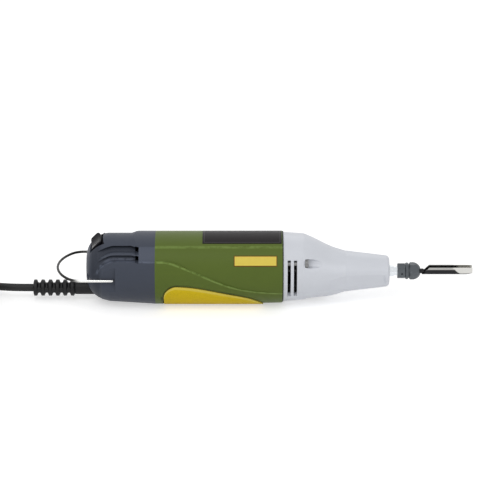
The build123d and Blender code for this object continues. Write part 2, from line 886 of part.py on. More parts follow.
parts["gear_head"] = make_gear_head()
gasket = tube_x(barrel_front, head_rear, flange_radius + 0.5, head_bore, z=axis_z)
for angle in screw_angles:
    y, z = at_angle(screw_circle, angle)
    gasket -= tube_x(barrel_front - 1, head_rear + 1, screw_dia / 2 + 0.2, y=y, z=z)
parts["head_gasket"] = gasket


def head_screw(angle):
    """One socket screw that holds the gear head to the barrel."""
    y, z = at_angle(screw_circle, angle)
    shank = tube_x(barrel_front - screw_boss_length + 2, screw_seat + 0.5, screw_dia / 2, y=y, z=z)
    head = tube_x(screw_seat + fit, screw_seat + screw_head_height, screw_head_dia / 2, y=y, z=z)
    socket = extrude(
        Plane.YZ.offset(screw_seat + 1.0) * Pos(y, z) * RegularPolygon(1.25, 6, major_radius=False), 3
    )
    return shank + head - socket


parts["head_screws"] = Compound(children=[head_screw(angle) for angle in screw_angles])


# Motor, from the rear bearing to the fan

bridge_x = barrel_rear + spigot_length + 0.3
bridge_thick = 2.4
rear_bearing_x = bridge_x + 0.2
commutator_x = rear_bearing_x + rear_bearing_size[2] + 3.8
core_x = -core_rear
core_front = core_x + core_length
fan_x = head_rear + 0.8
plate_x = head_rear + 10.8
plate_thickness = 2.4
front_bearing_x = plate_x + 0.4
pinion_x = front_bearing_x + front_bearing_size[2] + 1.0
shaft_front = pinion_x + gear_width + 0.6
shaft_rear = rear_bearing_x + 0.2
brush_x = commutator_x + commutator_length / 2
holder_outer = bore_radius - running


def bearing(x, size, z):
    """A ball bearing: outer ring, inner ring and a ball row with its shield."""
    outer, bore, width = size
    step = (outer - bore) / 8
    rings = tube_x(x, x + width, outer / 2, outer / 2 - step, z=z)
    rings += tube_x(x, x + width, bore / 2 + step, bore / 2 + shaft_play, z=z)
    return rings + tube_x(x + 0.3, x + width - 0.3, outer / 2 - step, bore / 2 + step, z=z)


parts["rear_bearing"] = bearing(rear_bearing_x, rear_bearing_size, axis_z)
parts["front_bearing"] = bearing(front_bearing_x, front_bearing_size, axis_z)
parts["cup_bearing"] = bearing(cup_bearing_x, cup_bearing_size, spindle_z)


def make_bridge():
    """The rear bridge: a spoked disc with a cup for the rear bearing and two screw lugs."""
    cup_radius = rear_bearing_size[0] / 2
    disc = tube_x(bridge_x, bridge_x + bridge_thick, bore_radius - seat_gap, cup_radius, z=axis_z)
    for angle in range(0, 360, 90):
        y, z = at_angle(14.0, angle + 45)
        disc -= tube_x(bridge_x - 1, bridge_x + bridge_thick + 1, 4.4, y=y, z=z)
    disc += tube_x(
        bridge_x, bridge_x + rear_bearing_size[2] + 0.4, cup_radius + 1.6, cup_radius + 0.01, z=axis_z
    )
    for side in (-1, 1):
        y = side * cap_screw_y
        disc += tube_x(bridge_x, bridge_x + bridge_thick, 3.2, y=y, z=cap_screw_z)
        disc -= tube_x(bridge_x - 1, bridge_x + 9, cap_screw_dia / 2 + fit, y=y, z=cap_screw_z)
    return disc


parts["bearing_bridge"] = make_bridge()


def make_bearing_plate():
    """The front plate that carries the armature's front bearing inside the gear head."""
    outer = front_bearing_size[0] / 2
    plate = tube_x(plate_x, plate_x + plate_thickness, head_bore - seat_gap, 5.0, z=axis_z)
    plate += tube_x(plate_x, front_bearing_x + front_bearing_size[2], outer + 1.6, 5.0, z=axis_z)
    plate -= tube_x(front_bearing_x, front_bearing_x + 9, outer + 0.01, z=axis_z)
    for angle in screw_angles:
        y, z = at_angle(screw_circle, angle)
        plate -= tube_x(plate_x - 1, plate_x + 9, boss_radius + 0.15, y=y, z=z)
    return plate


parts["front_bearing_plate"] = make_bearing_plate()


def make_stator():
    """The stator's laminated ring with two pole shoes and two slots for the field coils."""
    core = tube_x(core_x, core_front, stator_radius, stator_bore, z=axis_z)
    for side in (-1, 1):
        slot = tube_x(core_x - 1, core_front + 1, stator_radius - 3.0, stator_bore + 1.6, z=axis_z)
        near = min(side * 4, side * 30)
        far = max(side * 4, side * 30)
        core -= slot & block(core_x - 1, core_front + 1, near, far, axis_z - 10, axis_z + 10)
    return core


def field_coil(side):
    """One field coil, looped through the slots and round the ends of its pole."""
    end = winding_length - 1.0
    room = tube_x(core_x - end, core_front + end, stator_radius - 3.4, stator_bore + 2.0, z=axis_z)
    low, high = (0.6, 24) if side > 0 else (-24, -0.6)
    half = room & block(core_x - 40, core_front + 40, -24, 24, axis_z + low, axis_z + high)
    inside = block(core_x - 0.3, core_front + 0.3, -10.6, 10.6, axis_z - 24, axis_z + 24)
    flank_low, flank_high = (0.6, 9.6) if side > 0 else (-9.6, -0.6)
    flanks = room & block(
        core_x - 0.3, core_front + 0.3, -24, 24, axis_z + flank_low, axis_z + flank_high
    )
    ends = half - block(core_x - 0.3, core_front + 0.3, -30, 30, -30, 80)
    return ends + (flanks - inside)


parts["stator_core"] = make_stator()
parts["field_coils"] = Compound(children=[field_coil(1), field_coil(-1)])


def make_armature_core():
    """The armature's laminations: a round stack with open winding slots."""
    core = Circle(armature_radius) - Circle(shaft_dia / 2 + 0.01)
    for angle in range(0, 360, 40):
        core -= Rot(0, 0, angle) * Pos(armature_radius - 2.4, 0) * Rectangle(5.0, 2.4)
    return extrude(Plane.YZ.offset(core_x) * Pos(0, axis_z) * core, core_length)


def make_windings():
    """The armature winding: bars in the slots joined by a rounded head at each end."""
    bars = Sketch()
    for angle in range(0, 360, 40):
        bars += Rot(0, 0, angle) * Pos(armature_radius - 2.8, 0) * Rectangle(3.8, 2.2)
    total = extrude(Plane.YZ.offset(core_x - 0.5) * Pos(0, axis_z) * bars, core_length + 1.0)
    bore = shaft_dia / 2 + 0.01
    wide = armature_radius - 0.8
    for root, tip in ((core_x - 0.01, core_x - winding_length), (core_front + 0.01, core_front + winding_length)):
        mid = root + 0.6 * (tip - root)
        total += spin_x([(root, bore), (root, wide), (mid, wide), (tip, 0.72 * wide), (tip, bore)], axis_z)
    return total


def make_commutator():
    """The commutator: a copper drum cut into bars, on its insulating hub."""
    drum = tube_x(
        commutator_x, commutator_x + commutator_length, commutator_dia / 2, shaft_dia / 2 + 0.01, z=axis_z
    )
    groove = Plane.YZ.offset(commutator_x - 1) * Pos(0, axis_z)
    lines = Sketch()
    for angle in range(0, 360, 20):
        lines += Rot(0, 0, angle) * Pos(commutator_dia / 2, 0) * Rectangle(1.6, 0.4)
    return drum - extrude(groove * lines, commutator_length + 2)


def make_fan():
    """The cooling fan: a hub, a back disc and curved blades."""
    back = fan_x + fan_length - 1.2
    fan = tube_x(fan_x, fan_x + fan_length, 6.0, shaft_dia / 2 + 0.01, z=axis_z)
    fan += tube_x(back, fan_x + fan_length, fan_dia / 2, 5.0, z=axis_z)
    blade = Pos(6.0 + (fan_dia / 2 - 6.4) / 2, 0) * Rectangle(fan_dia / 2 - 5.6, 1.2)
    blades = Sketch()
    for place in range(fan_blades):
        blades += Rot(0, 0, place * 360 / fan_blades) * Pos(0, 1.5) * blade
    return fan + extrude(Plane.YZ.offset(fan_x) * Pos(0, axis_z) * blades, fan_length - 1.0)


def make_shaft():
    """The armature shaft, stepped down for the rear bearing and for the pinion."""
    rear_bore = rear_bearing_size[1] / 2
    shaft = tube_x(shaft_rear, commutator_x - 1.0, rear_bore, z=axis_z)
    shaft += tube_x(commutator_x - 1.0, front_bearing_x + front_bearing_size[2], shaft_dia / 2, z=axis_z)
    return shaft + tube_x(front_bearing_x, shaft_front, pinion_bore, z=axis_z)


pinion_bore = 1.6
parts["armature_core"] = make_armature_core()
parts["armature_winding"] = make_windings()
parts["commutator"] = make_commutator()
parts["cooling_fan"] = make_fan()
parts["armature_shaft"] = make_shaft()

# Air baffle between the motor and the fan
baffle_x = barrel_front - 2.2
baffle = tube_x(baffle_x, barrel_front - 0.2, bore_radius - seat_gap, 12.5, z=axis_z)
for angle in screw_angles:
    y, z = at_angle(screw_circle, angle)
    baffle -= tube_x(baffle_x - 1, barrel_front + 1, screw_boss_radius + 0.1, y=y, z=z)
parts["air_baffle"] = baffle


# Brush gear: two holders across the commutator, each with its carbon and spring

def coil_spring(length, mean_radius, wire, coils):
    """A closed-wire coil spring along local Z, from 0 to length."""
    pitch = (length - wire) / coils
    path = Pos(0, 0, wire / 2) * Helix(pitch, length - wire, mean_radius)
    lean = math.atan2(pitch, 2 * math.pi * mean_radius)
    start = Plane(
        (mean_radius, 0, wire / 2), x_dir=(1, 0, 0), z_dir=(0, math.cos(lean), math.sin(lean))
    )
    return sweep(start * Circle(wire / 2), path=path, is_frenet=True)


brush_root = commutator_dia / 2 + 0.15
brush_tip = brush_root + brush_size[2]
holder_root = brush_root + 1.6


def brush_set(side):
    """A brass holder, its carbon brush and the spring behind it, on one side of the commutator."""
    thick, wide, deep = brush_size
    frame = Plane((brush_x, 0, axis_z), x_dir=(1, 0, 0), z_dir=(0, side, 0))
    shell = Box(thick + 2 * holder_wall, wide + 2 * holder_wall, holder_outer - holder_root)
    inside = Box(thick + 2 * fit, wide + 2 * fit, holder_outer - holder_root - holder_wall)
    middle = (holder_outer + holder_root) / 2
    holder = frame * (Pos(0, 0, middle) * shell - Pos(0, 0, middle - holder_wall / 2 - fit) * inside)
    holder &= tube_x(brush_x - 20, brush_x + 20, bore_radius - 0.2, z=axis_z)
    carbon = frame * Pos(0, 0, brush_root + deep / 2) * Box(thick, wide, deep)
    gap = holder_outer - holder_wall - fit - brush_tip
    spring = frame * Pos(0, 0, brush_tip) * coil_spring(gap - 0.4, 1.4, 0.4, 3)
    return holder, carbon, spring


holder_a, carbon_a, spring_a = brush_set(1)
holder_b, carbon_b, spring_b = brush_set(-1)
parts["brush_holders"] = Compound(children=[holder_a, holder_b])
parts["carbon_brushes"] = Compound(children=[carbon_a, carbon_b])
parts["brush_springs"] = Compound(children=[spring_a, spring_b])


def make_brush_ring():
    """The plastic ring in the barrel that carries both brush holders."""
    half = brush_size[0] / 2 + holder_wall
    ring = tube_x(brush_x - half - 1.2, brush_x + half + 1.2, bore_radius - 0.1, bore_radius - 4.0, z=axis_z)
    slot_half = brush_size[1] / 2 + holder_wall + fit
    slot = block(brush_x - half - fit, brush_x + half + fit, -30, 30, axis_z - slot_half, axis_z + slot_half)
    return ring - slot


parts["brush_ring"] = make_brush_ring()

# Suppression capacitor, glued under the cap's roof
capacitor_size = (13.0, 13.0, 7.0)
capacitor_front = cap_waist + vent_length + 0.6
capacitor_room = cap_waist_radius - cap_duct_wall - seat_gap
capacitor_top = axis_z + math.sqrt(capacitor_room**2 - (capacitor_size[1] / 2) ** 2)
capacitor = block(
    capacitor_front - capacitor_size[0],
    capacitor_front,
    -capacitor_size[1] / 2,
    capacitor_size[1] / 2,
    capacitor_top - capacitor_size[2],
    capacitor_top,
)
parts["capacitor"] = fillet(capacitor.edges(), 0.6)


# Gear pair: pinion on the motor shaft inside the drive cup's internal teeth

pressure_angle = math.radians(20)


def involute(angle):
    """tan a - a, which gives an involute flank's sweep at the pressure angle a."""
    return math.tan(angle) - angle


def tooth_outline(teeth, low, high, half_pitch_gap, steps=5):
    """Points of a toothed wheel's outline: flanks are involutes between the two radii."""
    pitch_radius = gear_module * teeth / 2
    base = pitch_radius * math.cos(pressure_angle)
    half_tooth = math.pi / (2 * teeth) + half_pitch_gap / pitch_radius + involute(pressure_angle)
    flank = []
    for place in range(steps):
        radius = max(low, base) + place * (high - max(low, base)) / (steps - 1)
        flank.append((radius, half_tooth - involute(math.acos(min(1.0, base / radius)))))
    if low < base:
        flank.insert(0, (low, flank[0][1]))
    points = []
    for tooth in range(teeth):
        middle = 2 * math.pi * tooth / teeth
        sides = [(radius, middle - half) for radius, half in flank]
        sides += [(radius, middle + half) for radius, half in reversed(flank)]
        points += [(radius * math.cos(turn), radius * math.sin(turn)) for radius, turn in sides]
    return points


pinion_pitch = gear_module * pinion_teeth / 2
cup_pitch = gear_module * cup_teeth / 2
cup_web_x = pinion_x + gear_width + 0.9
cup_radius = cup_pitch + gear_dedendum + cup_wall
hub_radius = cup_bearing_size[1] / 2
cup_rear_x = pinion_x + 0.2


def make_pinion():
    """The motor pinion, pressed on the shaft's end."""
    low = pinion_pitch - gear_dedendum
    high = pinion_pitch + gear_addendum
    outline = make_face(Polyline(*tooth_outline(pinion_teeth, low, high, -gear_backlash / 2), close=True))
    wheel = outline - Circle(pinion_bore)
    return extrude(Plane.YZ.offset(pinion_x) * Pos(0, axis_z) * wheel, gear_width)


def make_cup():
    """The drive cup: internal teeth, a web in front of them and a hub for its bearing."""
    low = cup_pitch - gear_addendum
    high = cup_pitch + gear_dedendum
    outline = make_face(Polyline(*tooth_outline(cup_teeth, low, high, gear_backlash / 2), close=True))
    room = Rot(0, 0, 180 / cup_teeth) * (outline + Circle(low))
    cup = tube_x(cup_rear_x, cup_bearing_x - 0.3, cup_radius, z=spindle_z)
    cup -= extrude(Plane.YZ.offset(cup_rear_x - 1) * Pos(0, spindle_z) * room, cup_web_x - cup_rear_x + 1)
    hub = tube_x(cup_web_x + 0.5, cup_bearing_x + cup_bearing_size[2] + 1.6, hub_radius - 0.01, z=spindle_z)
    return cup + hub


def cam_face(x, radius, bore, z, height, out):
    """A ring with one raised lobe over a third of its turn; out is the side that the lobe faces."""
    ring = tube_x(min(x, x - out * 1.4), max(x, x - out * 1.4), radius, bore, z=z)
    lobe = tube_x(min(x, x + out * height), max(x, x + out * height), radius, bore, z=z)
    points = [(0, z)]
    for share in range(5):
        turn = math.radians(30 + 30 * share)
        points.append((2 * radius * math.cos(turn), z + 2 * radius * math.sin(turn)))
    sector = extrude(Plane.YZ.offset(x - 5) * make_face(Polyline(*points, close=True)), 10)
    return ring + (lobe & sector)


cam_x = crest_x - cam_lift
parts["motor_pinion"] = make_pinion()
parts["drive_cup"] = make_cup()
parts["cam_ring"] = cam_face(cam_x, cam_radius, hub_radius, spindle_z, cam_lift, 1)

# Hammer: striker, spindle, bushes, spring, buffer and guide pin
striker_face = striker_rear + cam_lift
striker_pocket = striker_face + 0.9
spindle_front = head_front + spindle_out
neck_front = spindle_front + neck_length
stud_length = 3.6


def make_striker():
    """The hardened striker on the spindle's rear end, with one lobe to match the cam."""
    striker = cam_face(striker_face, cam_radius - 1.0, 2.2, spindle_z, cam_lift, -1)
    striker += tube_x(striker_face, striker_front, cam_radius - 1.0, z=spindle_z)
    return striker - tube_x(striker_pocket, striker_front + 1, spindle_dia / 2 + 0.01, z=spindle_z)


def make_spindle():
    """The spindle with its slotted collar and the stud that carries the chuck."""
    spindle = tube_x(striker_pocket, spindle_front, spindle_dia / 2, z=spindle_z)
    spindle += tube_x(collar_rear, collar_front, collar_dia / 2, z=spindle_z)
    spindle += tube_x(spindle_front, neck_front, neck_dia / 2, z=spindle_z)
    spindle += tube_x(neck_front, neck_front + stud_length, neck_dia / 2 - 0.9, z=spindle_z)
    half = guide_pin_dia / 2 + 0.1
    slot_top = spindle_z - spindle_dia / 2 - 0.7
    return spindle - block(collar_rear - 1, collar_front + 1, -half, half, 0, slot_top)


parts["striker"] = make_striker()
parts["spindle"] = make_spindle()
bush_bore = spindle_dia / 2 + 0.03
parts["rear_bush"] = tube_x(bush_rear_x, spring_rear, bush_wall_dia / 2, bush_bore, z=spindle_z)
parts["front_bush"] = tube_x(
    front_bush_x, head_front - lip_length, bush_dia / 2, bush_bore, z=spindle_z
)
parts["buffer_washer"] = tube_x(
    front_bush_x - buffer_thick, front_bush_x, bush_wall_dia / 2, spindle_dia / 2 + running, z=spindle_z
)
spring_place = Plane((spring_rear, 0, spindle_z), x_dir=(0, 1, 0), z_dir=(1, 0, 0))
spring_radius = (spindle_dia + collar_dia) / 4
parts["return_spring"] = spring_place * coil_spring(
    collar_rear - running - spring_rear, spring_radius, spring_wire, spring_coils
)
pin_top = spindle_z - spindle_dia / 2 - 0.7 - running
pin_low = spindle_z - taper_radius + 1.5
parts["guide_pin"] = Pos(guide_pin_x, 0, (pin_top + pin_low) / 2) * Cylinder(
    guide_pin_dia / 2, pin_top - pin_low
)


# Chuck, collet, nut and blade

chuck_front = neck_front + chuck_length
chuck_nose_front = chuck_front + chuck_nose_length
nut_rear = chuck_front + running
nut_front = nut_rear + nut_length
collet_bore = shank_dia / 2 + 0.01
collet_rear = chuck_front - 0.9
chuck_bore = chuck_nose_dia / 2 - 0.9


def make_chuck():
    """The chuck body: a wrench hexagon with a pin hole, and a nose that holds the collet."""
    hexagon = RegularPolygon(chuck_flats / 2, 6, major_radius=False)
    body = extrude(Plane.YZ.offset(neck_front) * Pos(0, spindle_z) * Rot(0, 0, 90) * hexagon, chuck_length)
    body &= spin_x(
        [
            (neck_front, 0),
            (neck_front, chuck_flats / 2 + 0.1),
            (neck_front + 0.7, chuck_flats / 2 + 0.9),
            (chuck_front, chuck_flats / 2 + 0.9),
            (chuck_front, 0),
        ],
        spindle_z,
    )
    body += tube_x(chuck_front, chuck_nose_front, chuck_nose_dia / 2, z=spindle_z)
    body -= tube_x(neck_front - 1, neck_front + stud_length, neck_dia / 2 - 0.9, z=spindle_z)
    body -= tube_x(collet_rear, chuck_nose_front + 1, chuck_bore, z=spindle_z)
    body -= tube_y(-9, 9, tommy_hole_dia / 2, x=neck_front + 0.6 * chuck_length, z=spindle_z)
    return body


def make_collet():
    """The split collet: a sleeve with a cone in front and three slits."""
    cone = chuck_nose_front + 0.2
    collet = spin_x(
        [
            (collet_rear, 0),
            (collet_rear, chuck_bore - 0.01),
            (cone, chuck_bore - 0.01),
            (cone, chuck_bore + 0.5),
            (cone + 0.6, chuck_bore + 0.5),
            (cone + 1.9, chuck_bore - 0.6),
            (cone + 1.9, 0),
        ],
        spindle_z,
    )
    collet -= tube_x(collet_rear - 1, cone + 3, collet_bore, z=spindle_z)
    for angle in (90, 210, 330):
        slit = Pos(0, 0, spindle_z) * Rot(angle, 0, 0) * Pos(0, 2.5, 0) * Box(400, 5, 0.5)
        collet -= slit & block(collet_rear + 2.5, cone + 3, -9, 9, spindle_z - 9, spindle_z + 9)
    return collet


def make_nut():
    """The collet nut: a ring, a groove, a hexagon and a domed front with the shank hole."""
    ring_front = nut_rear + 2.0
    dome_start = nut_rear + 5.6
    front_radius = nut_front_dia / 2
    lines = Polyline(
        (dome_start, nut_dia / 2),
        (ring_front + 1.2, nut_dia / 2),
        (ring_front + 0.6, nut_ring_dia / 2 - 0.7),
        (ring_front, nut_ring_dia / 2 - 0.7),
        (ring_front - 0.3, nut_ring_dia / 2),
        (nut_rear + 0.4, nut_ring_dia / 2),
        (nut_rear, nut_ring_dia / 2 - 0.4),
        (nut_rear, 0),
        (nut_front, 0),
        (nut_front, front_radius),
    )
    bulge_x = dome_start + 0.62 * (nut_front - dome_start)
    dome = ThreePointArc(
        (nut_front, front_radius),
        (bulge_x, front_radius + 0.66 * (nut_dia / 2 - front_radius)),
        (dome_start, nut_dia / 2),
    )
    nut = Pos(0, 0, spindle_z) * revolve(Plane.XZ * make_face([lines, dome]), Axis.X)
    hexagon = RegularPolygon(0.92 * nut_dia / 2, 6, major_radius=False)
    prism = extrude(Plane.YZ.offset(ring_front + 0.6) * Pos(0, spindle_z) * hexagon, nut_length)
    nut &= tube_x(nut_rear, ring_front + 0.6, nut_dia, z=spindle_z) + prism
    room = chuck_nose_dia / 2 + 0.1
    room_front = chuck_nose_front + 1.2
    nut -= tube_x(nut_rear - 1, room_front, room, z=spindle_z)
    nut -= spin_x(
        [
            (room_front, 0),
            (room_front, chuck_bore + 0.6),
            (room_front + 1.6, chuck_bore - 0.5),
            (room_front + 1.6, 0),
        ],
        spindle_z,
    )
    return nut - tube_x(nut_rear, nut_front + 1, shank_dia / 2 + running, z=spindle_z)


parts["chuck_body"] = make_chuck()
parts["collet"] = make_collet()
parts["collet_nut"] = make_nut()
blade_rear = nut_front + 1.2
blade_front = nut_front + blade_length
channel_z = spindle_z + 0.65


def channel_section(radius, top):
    """A round-bottomed section with straight sides up to a height over the arc's centre."""
    section = Circle(radius) & Pos(0, -radius) * Rectangle(2 * radius, 2 * radius)
    return section + Pos(0, top / 2) * Rectangle(2 * radius, top)


def make_blade():
    """The gouge: a round shank that opens into a U channel with a bevelled edge."""
    outer = blade_width / 2
    inner = outer - blade_wall
    bevel_x = blade_front - blade_bevel
    place = Pos(0, channel_z)
    blade = extrude(Plane.YZ.offset(blade_rear) * place * channel_section(outer, blade_rise), bevel_x - blade_rear)
    blade += loft(
        [
            Plane.YZ.offset(bevel_x) * place * channel_section(outer, blade_rise),
            Plane.YZ.offset(blade_front) * place * channel_section(inner + 0.12, blade_rise),
        ],
        ruled=True,
    )
    hollow = extrude(
        Plane.YZ.offset(blade_rear - 1) * place * channel_section(inner, blade_rise + 1), blade_length + 2
    )
    blade -= hollow
    top = channel_z + blade_rise + 1
    ramp = make_face(
        Polyline(
            (blade_rear - 1, channel_z - outer + 0.4),
            (blade_rear + 0.5, channel_z - outer + 0.9),
            (blade_rear + blade_runout, channel_z + blade_rise),
            (blade_rear + blade_runout, top),
            (blade_rear - 1, top),
            close=True,
        )
    )
    blade -= side_prism(ramp, -outer - 1, outer + 1)
    shank = tube_x(nut_front - shank_inside, blade_rear + 3.0, shank_dia / 2, z=spindle_z)
    chamfer_cut = make_face(
        Polyline(
            (blade_rear + 0.6, spindle_z + shank_dia / 2 + 0.1),
            (blade_rear + 3.1, channel_z - inner + 0.3),
            (blade_rear + 3.1, spindle_z + shank_dia),
            (blade_rear + 0.6, spindle_z + shank_dia),
            close=True,
        )
    )
    shank -= side_prism(chamfer_cut, -outer, outer)
    return blade + shank


parts["gouge_blade"] = make_blade()


# Mains lead: from the strain relief down to the surface, a neat coil, and a tail to the plug

coil_x = -199.0
coil_y = -21.7
coil_low = cord_dia / 2 + 0.1
coil_outer = 36.9
coil_pitch = cord_dia + 0.5
coil_layer_turns = 2.5
coil_turns = 9.5
coil_high = coil_low + 3 * coil_pitch
coil_end_radius = coil_outer - coil_pitch * (4 * coil_layer_turns - coil_turns)

lead_route = [
    (relief_rear, 0, cord_z),
    (-141.0, 0, cord_z),
    (-152.0, 3.4, 7.3),
    (-170.0, 12.2, 3.9),
    (-182.0, coil_y + coil_outer, coil_low),
    (coil_x + cord_dia, coil_y + coil_outer, coil_low),
]
plug_z = coil_high + cord_dia / 2 + running + plug_thick / 2
plug_y = coil_y + 23.0
plug_entry = coil_x + 5.0
tail_route = [
    (coil_x + cord_dia, coil_y - coil_end_radius, coil_high),
    (coil_x + 23.3, coil_y - coil_end_radius, coil_high),
    (coil_x + 38.2, coil_y - 23.1, coil_high + 3.5),
    (coil_x + 44.0, coil_y - 5.5, coil_high + 6.9),
    (coil_x + 38.2, coil_y + 12.2, plug_z - 0.6),
    (coil_x + 23.3, plug_y, plug_z),
    (plug_entry, plug_y, plug_z),
]


def cord_tube(name, route):
    """A round tube along straight runs joined by arcs as large as the runs allow."""
    points = [Vector(*point) for point in route]
    runs = [end - start for start, end in zip(points, points[1:])]
    radii = []
    for before, after in zip(runs, runs[1:]):
        half_turn = math.radians(before.get_angle(after)) / 2
        radii.append(0.45 * min(before.length, after.length) / math.tan(half_turn))
    path = FilletPolyline(*points, radius=radii)
    print(name, "radii", [round(radius, 1) for radius in radii], "length", round(path.length, 1))
    start = Plane(points[0], z_dir=runs[0])
    tube = sweep(start * Circle(cord_dia / 2), path=path)
    print(name, "volume share", round(tube.volume / (math.pi * cord_dia**2 / 4 * path.length), 4))
    return tube


def coil_point(turns):
    """A point of the coil after a number of turns: it winds in and out and climbs at each reversal."""
    layer = min(3, int(turns / coil_layer_turns))
    inside = turns - layer * coil_layer_turns
    if layer % 2:
        inside = coil_layer_turns - inside
    radius = coil_outer - coil_pitch * inside
    height = coil_low
    for change in range(1, 4):
        share = (turns - change * coil_layer_turns + 0.25) / 0.5
        share = max(0.0, min(1.0, share))
        height += coil_pitch * share * share * (3 - 2 * share)
    turn = math.pi / 2 + 2 * math.pi * turns
    return Vector(coil_x + radius * math.cos(turn), coil_y + radius * math.sin(turn), height)


def coil_heading(turns):
    """The coil's direction of travel after a number of turns."""
    return (coil_point(turns + 0.01) - coil_point(turns - 0.01)).normalized()


def biarc(start, leave, end, arrive):
    """Two tangent arcs from a point and direction to another, meeting where both arms are equal."""
    gap = end - start
    both = leave + arrive
    lead = gap.dot(both)
    bend = 2 * (1 - leave.dot(arrive))
    arm = (-lead + math.sqrt(lead * lead + bend * gap.dot(gap))) / bend
    middle = (start + leave * arm + end - arrive * arm) * 0.5
    first = Edge.make_tangent_arc(start, leave, middle)
    return [first, Edge.make_tangent_arc(middle, first.tangent_at(1), end)]


def make_coil():
    """The coil as one unbroken tube on quarter-turn biarcs, with straight ends one diameter long."""
    ahead = Vector(-1, 0, 0)
    back = Vector(1, 0, 0)
    first = coil_point(0)
    last = coil_point(coil_turns)
    edges = [Edge.make_line(first - ahead * cord_dia, first)]
    steps = round(coil_turns * 4)
    start, leave = first, ahead
    for step in range(1, steps + 1):
        end = coil_point(step / 4)
        arrive = back if step == steps else coil_heading(step / 4)
        edges += biarc(start, leave, end, arrive)
        start, leave = end, arrive
    edges.append(Edge.make_line(last, last + back * cord_dia))
    path = Wire(edges)
    begin = Plane(first - ahead * cord_dia, z_dir=ahead)
    tube = sweep(begin * Circle(cord_dia / 2), path=path)
    report_gap(path)
    print("coil length", round(path.length, 1), "turns", coil_turns)
    print("coil volume share", round(tube.volume / (math.pi * cord_dia**2 / 4 * path.length), 4))
    return tube


def report_gap(path):
    """Print the least gap between the coil's turns, measured on points along its path."""
    count = 900
    spacing = path.length / count
    points = [path.position_at(place / count) for place in range(count + 1)]
    skip = int(60.0 / spacing)
    least = min(
        (points[one] - points[two]).length
        for one in range(count + 1)
        for two in range(one + skip, count + 1)
    )
    print("coil least gap to itself", round(least - cord_dia, 2))


def make_plug():
    """The flat two-pin plug's body with its tapered, ribbed cord end."""
    face = plug_entry - plug_tail_length - plug_length
    back = plug_entry - plug_tail_length
    half = plug_width / 2
    outline = Polyline(
        (face, plug_y - half + 3.5),
        (face + 3.5, plug_y - half),
        (face + 9.0, plug_y - half),
        (back, plug_y - 6.5),
        (back, plug_y + 6.5),
        (face + 9.0, plug_y + half),
        (face + 3.5, plug_y + half),
        (face, plug_y + half - 3.5),
        close=True,
    )
    body = extrude(Pos(0, 0, plug_z - plug_thick / 2) * make_face(outline), plug_thick)
    body = fillet(body.edges().filter_by(GeomType.LINE).filter_by(Plane.XY), 2.2)
    neck = spin_x(
        [
            (back - 1, 0),
            (back - 1, 5.2),
            (back + 1, 5.2),
            (plug_entry, cord_dia / 2 + 1.0),
            (plug_entry, 0),
        ],
        plug_z,
    )
    body += Pos(0, plug_y, 0) * neck
    for place in range(3):
        rib_x = back + 2.6 + 2.8 * place
        body += tube_x(rib_x, rib_x + 1.3, 5.0 - 0.4 * place, y=plug_y, z=plug_z)
    return body


def make_plug_pins():
    """The plug's two round pins with hemispherical ends."""
    face = plug_entry - plug_tail_length - plug_length
    radius = plug_pin_dia / 2
    pins = []
    for side in (-1, 1):
        y = plug_y + side * plug_pin_spacing / 2
        pin = tube_x(face - plug_pin_length + radius, face, radius, y=y, z=plug_z)
        pins.append(pin + Pos(face - plug_pin_length + radius, y, plug_z) * Sphere(radius))
    return Compound(children=pins)


parts["cord_lead"] = cord_tube("lead", lead_route)
parts["cord_coil"] = make_coil()
parts["cord_tail"] = cord_tube("tail", tail_route)
parts["plug_body"] = make_plug()
parts["plug_pins"] = make_plug_pins()

os.makedirs("parts", exist_ok=True)
for name, shape in parts.items():
    export_step(shape, os.path.join("parts", name + ".step"))
print(len(parts), "nodes written")
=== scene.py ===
"""Finishes, the mains lead and the finely shaped pieces of a power carving chisel.

Metres. X runs forward to the blade, Z is up, and the tool lies on the plane z = 0. The nameplate
is on the -Y side, which the camera faces.
"""

from __future__ import annotations

import logging
import math
from dataclasses import dataclass
from enum import Enum
from typing import Any, Iterable, Sequence

import bpy
import numpy as np
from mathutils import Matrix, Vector

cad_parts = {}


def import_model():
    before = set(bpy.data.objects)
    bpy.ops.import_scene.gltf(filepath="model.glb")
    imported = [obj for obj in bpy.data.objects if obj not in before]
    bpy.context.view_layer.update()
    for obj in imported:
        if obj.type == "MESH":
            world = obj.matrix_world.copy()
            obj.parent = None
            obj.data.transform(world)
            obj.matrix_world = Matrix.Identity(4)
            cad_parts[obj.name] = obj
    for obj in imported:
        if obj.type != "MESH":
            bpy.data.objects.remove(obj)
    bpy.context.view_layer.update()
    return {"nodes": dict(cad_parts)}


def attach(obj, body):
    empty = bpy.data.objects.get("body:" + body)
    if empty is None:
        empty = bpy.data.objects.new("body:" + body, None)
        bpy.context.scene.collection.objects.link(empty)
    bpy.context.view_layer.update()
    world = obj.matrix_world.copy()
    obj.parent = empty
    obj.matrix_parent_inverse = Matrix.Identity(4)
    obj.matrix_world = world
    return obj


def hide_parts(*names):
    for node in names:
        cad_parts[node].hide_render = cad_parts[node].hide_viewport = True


LOG = logging.getLogger("carving_chisel")
MM = 0.001
Colour = tuple[float, float, float]

# Places shared by several pieces, as the part's source has them
BELLY_RADIUS = 25.8
REST_STRIP_HALF = 8.0
AXIS_Z = math.sqrt(BELLY_RADIUS**2 - REST_STRIP_HALF**2) * MM
SPINDLE_Z = AXIS_Z - 3.5 * MM
CORD_Z = AXIS_Z - 16.3 * MM

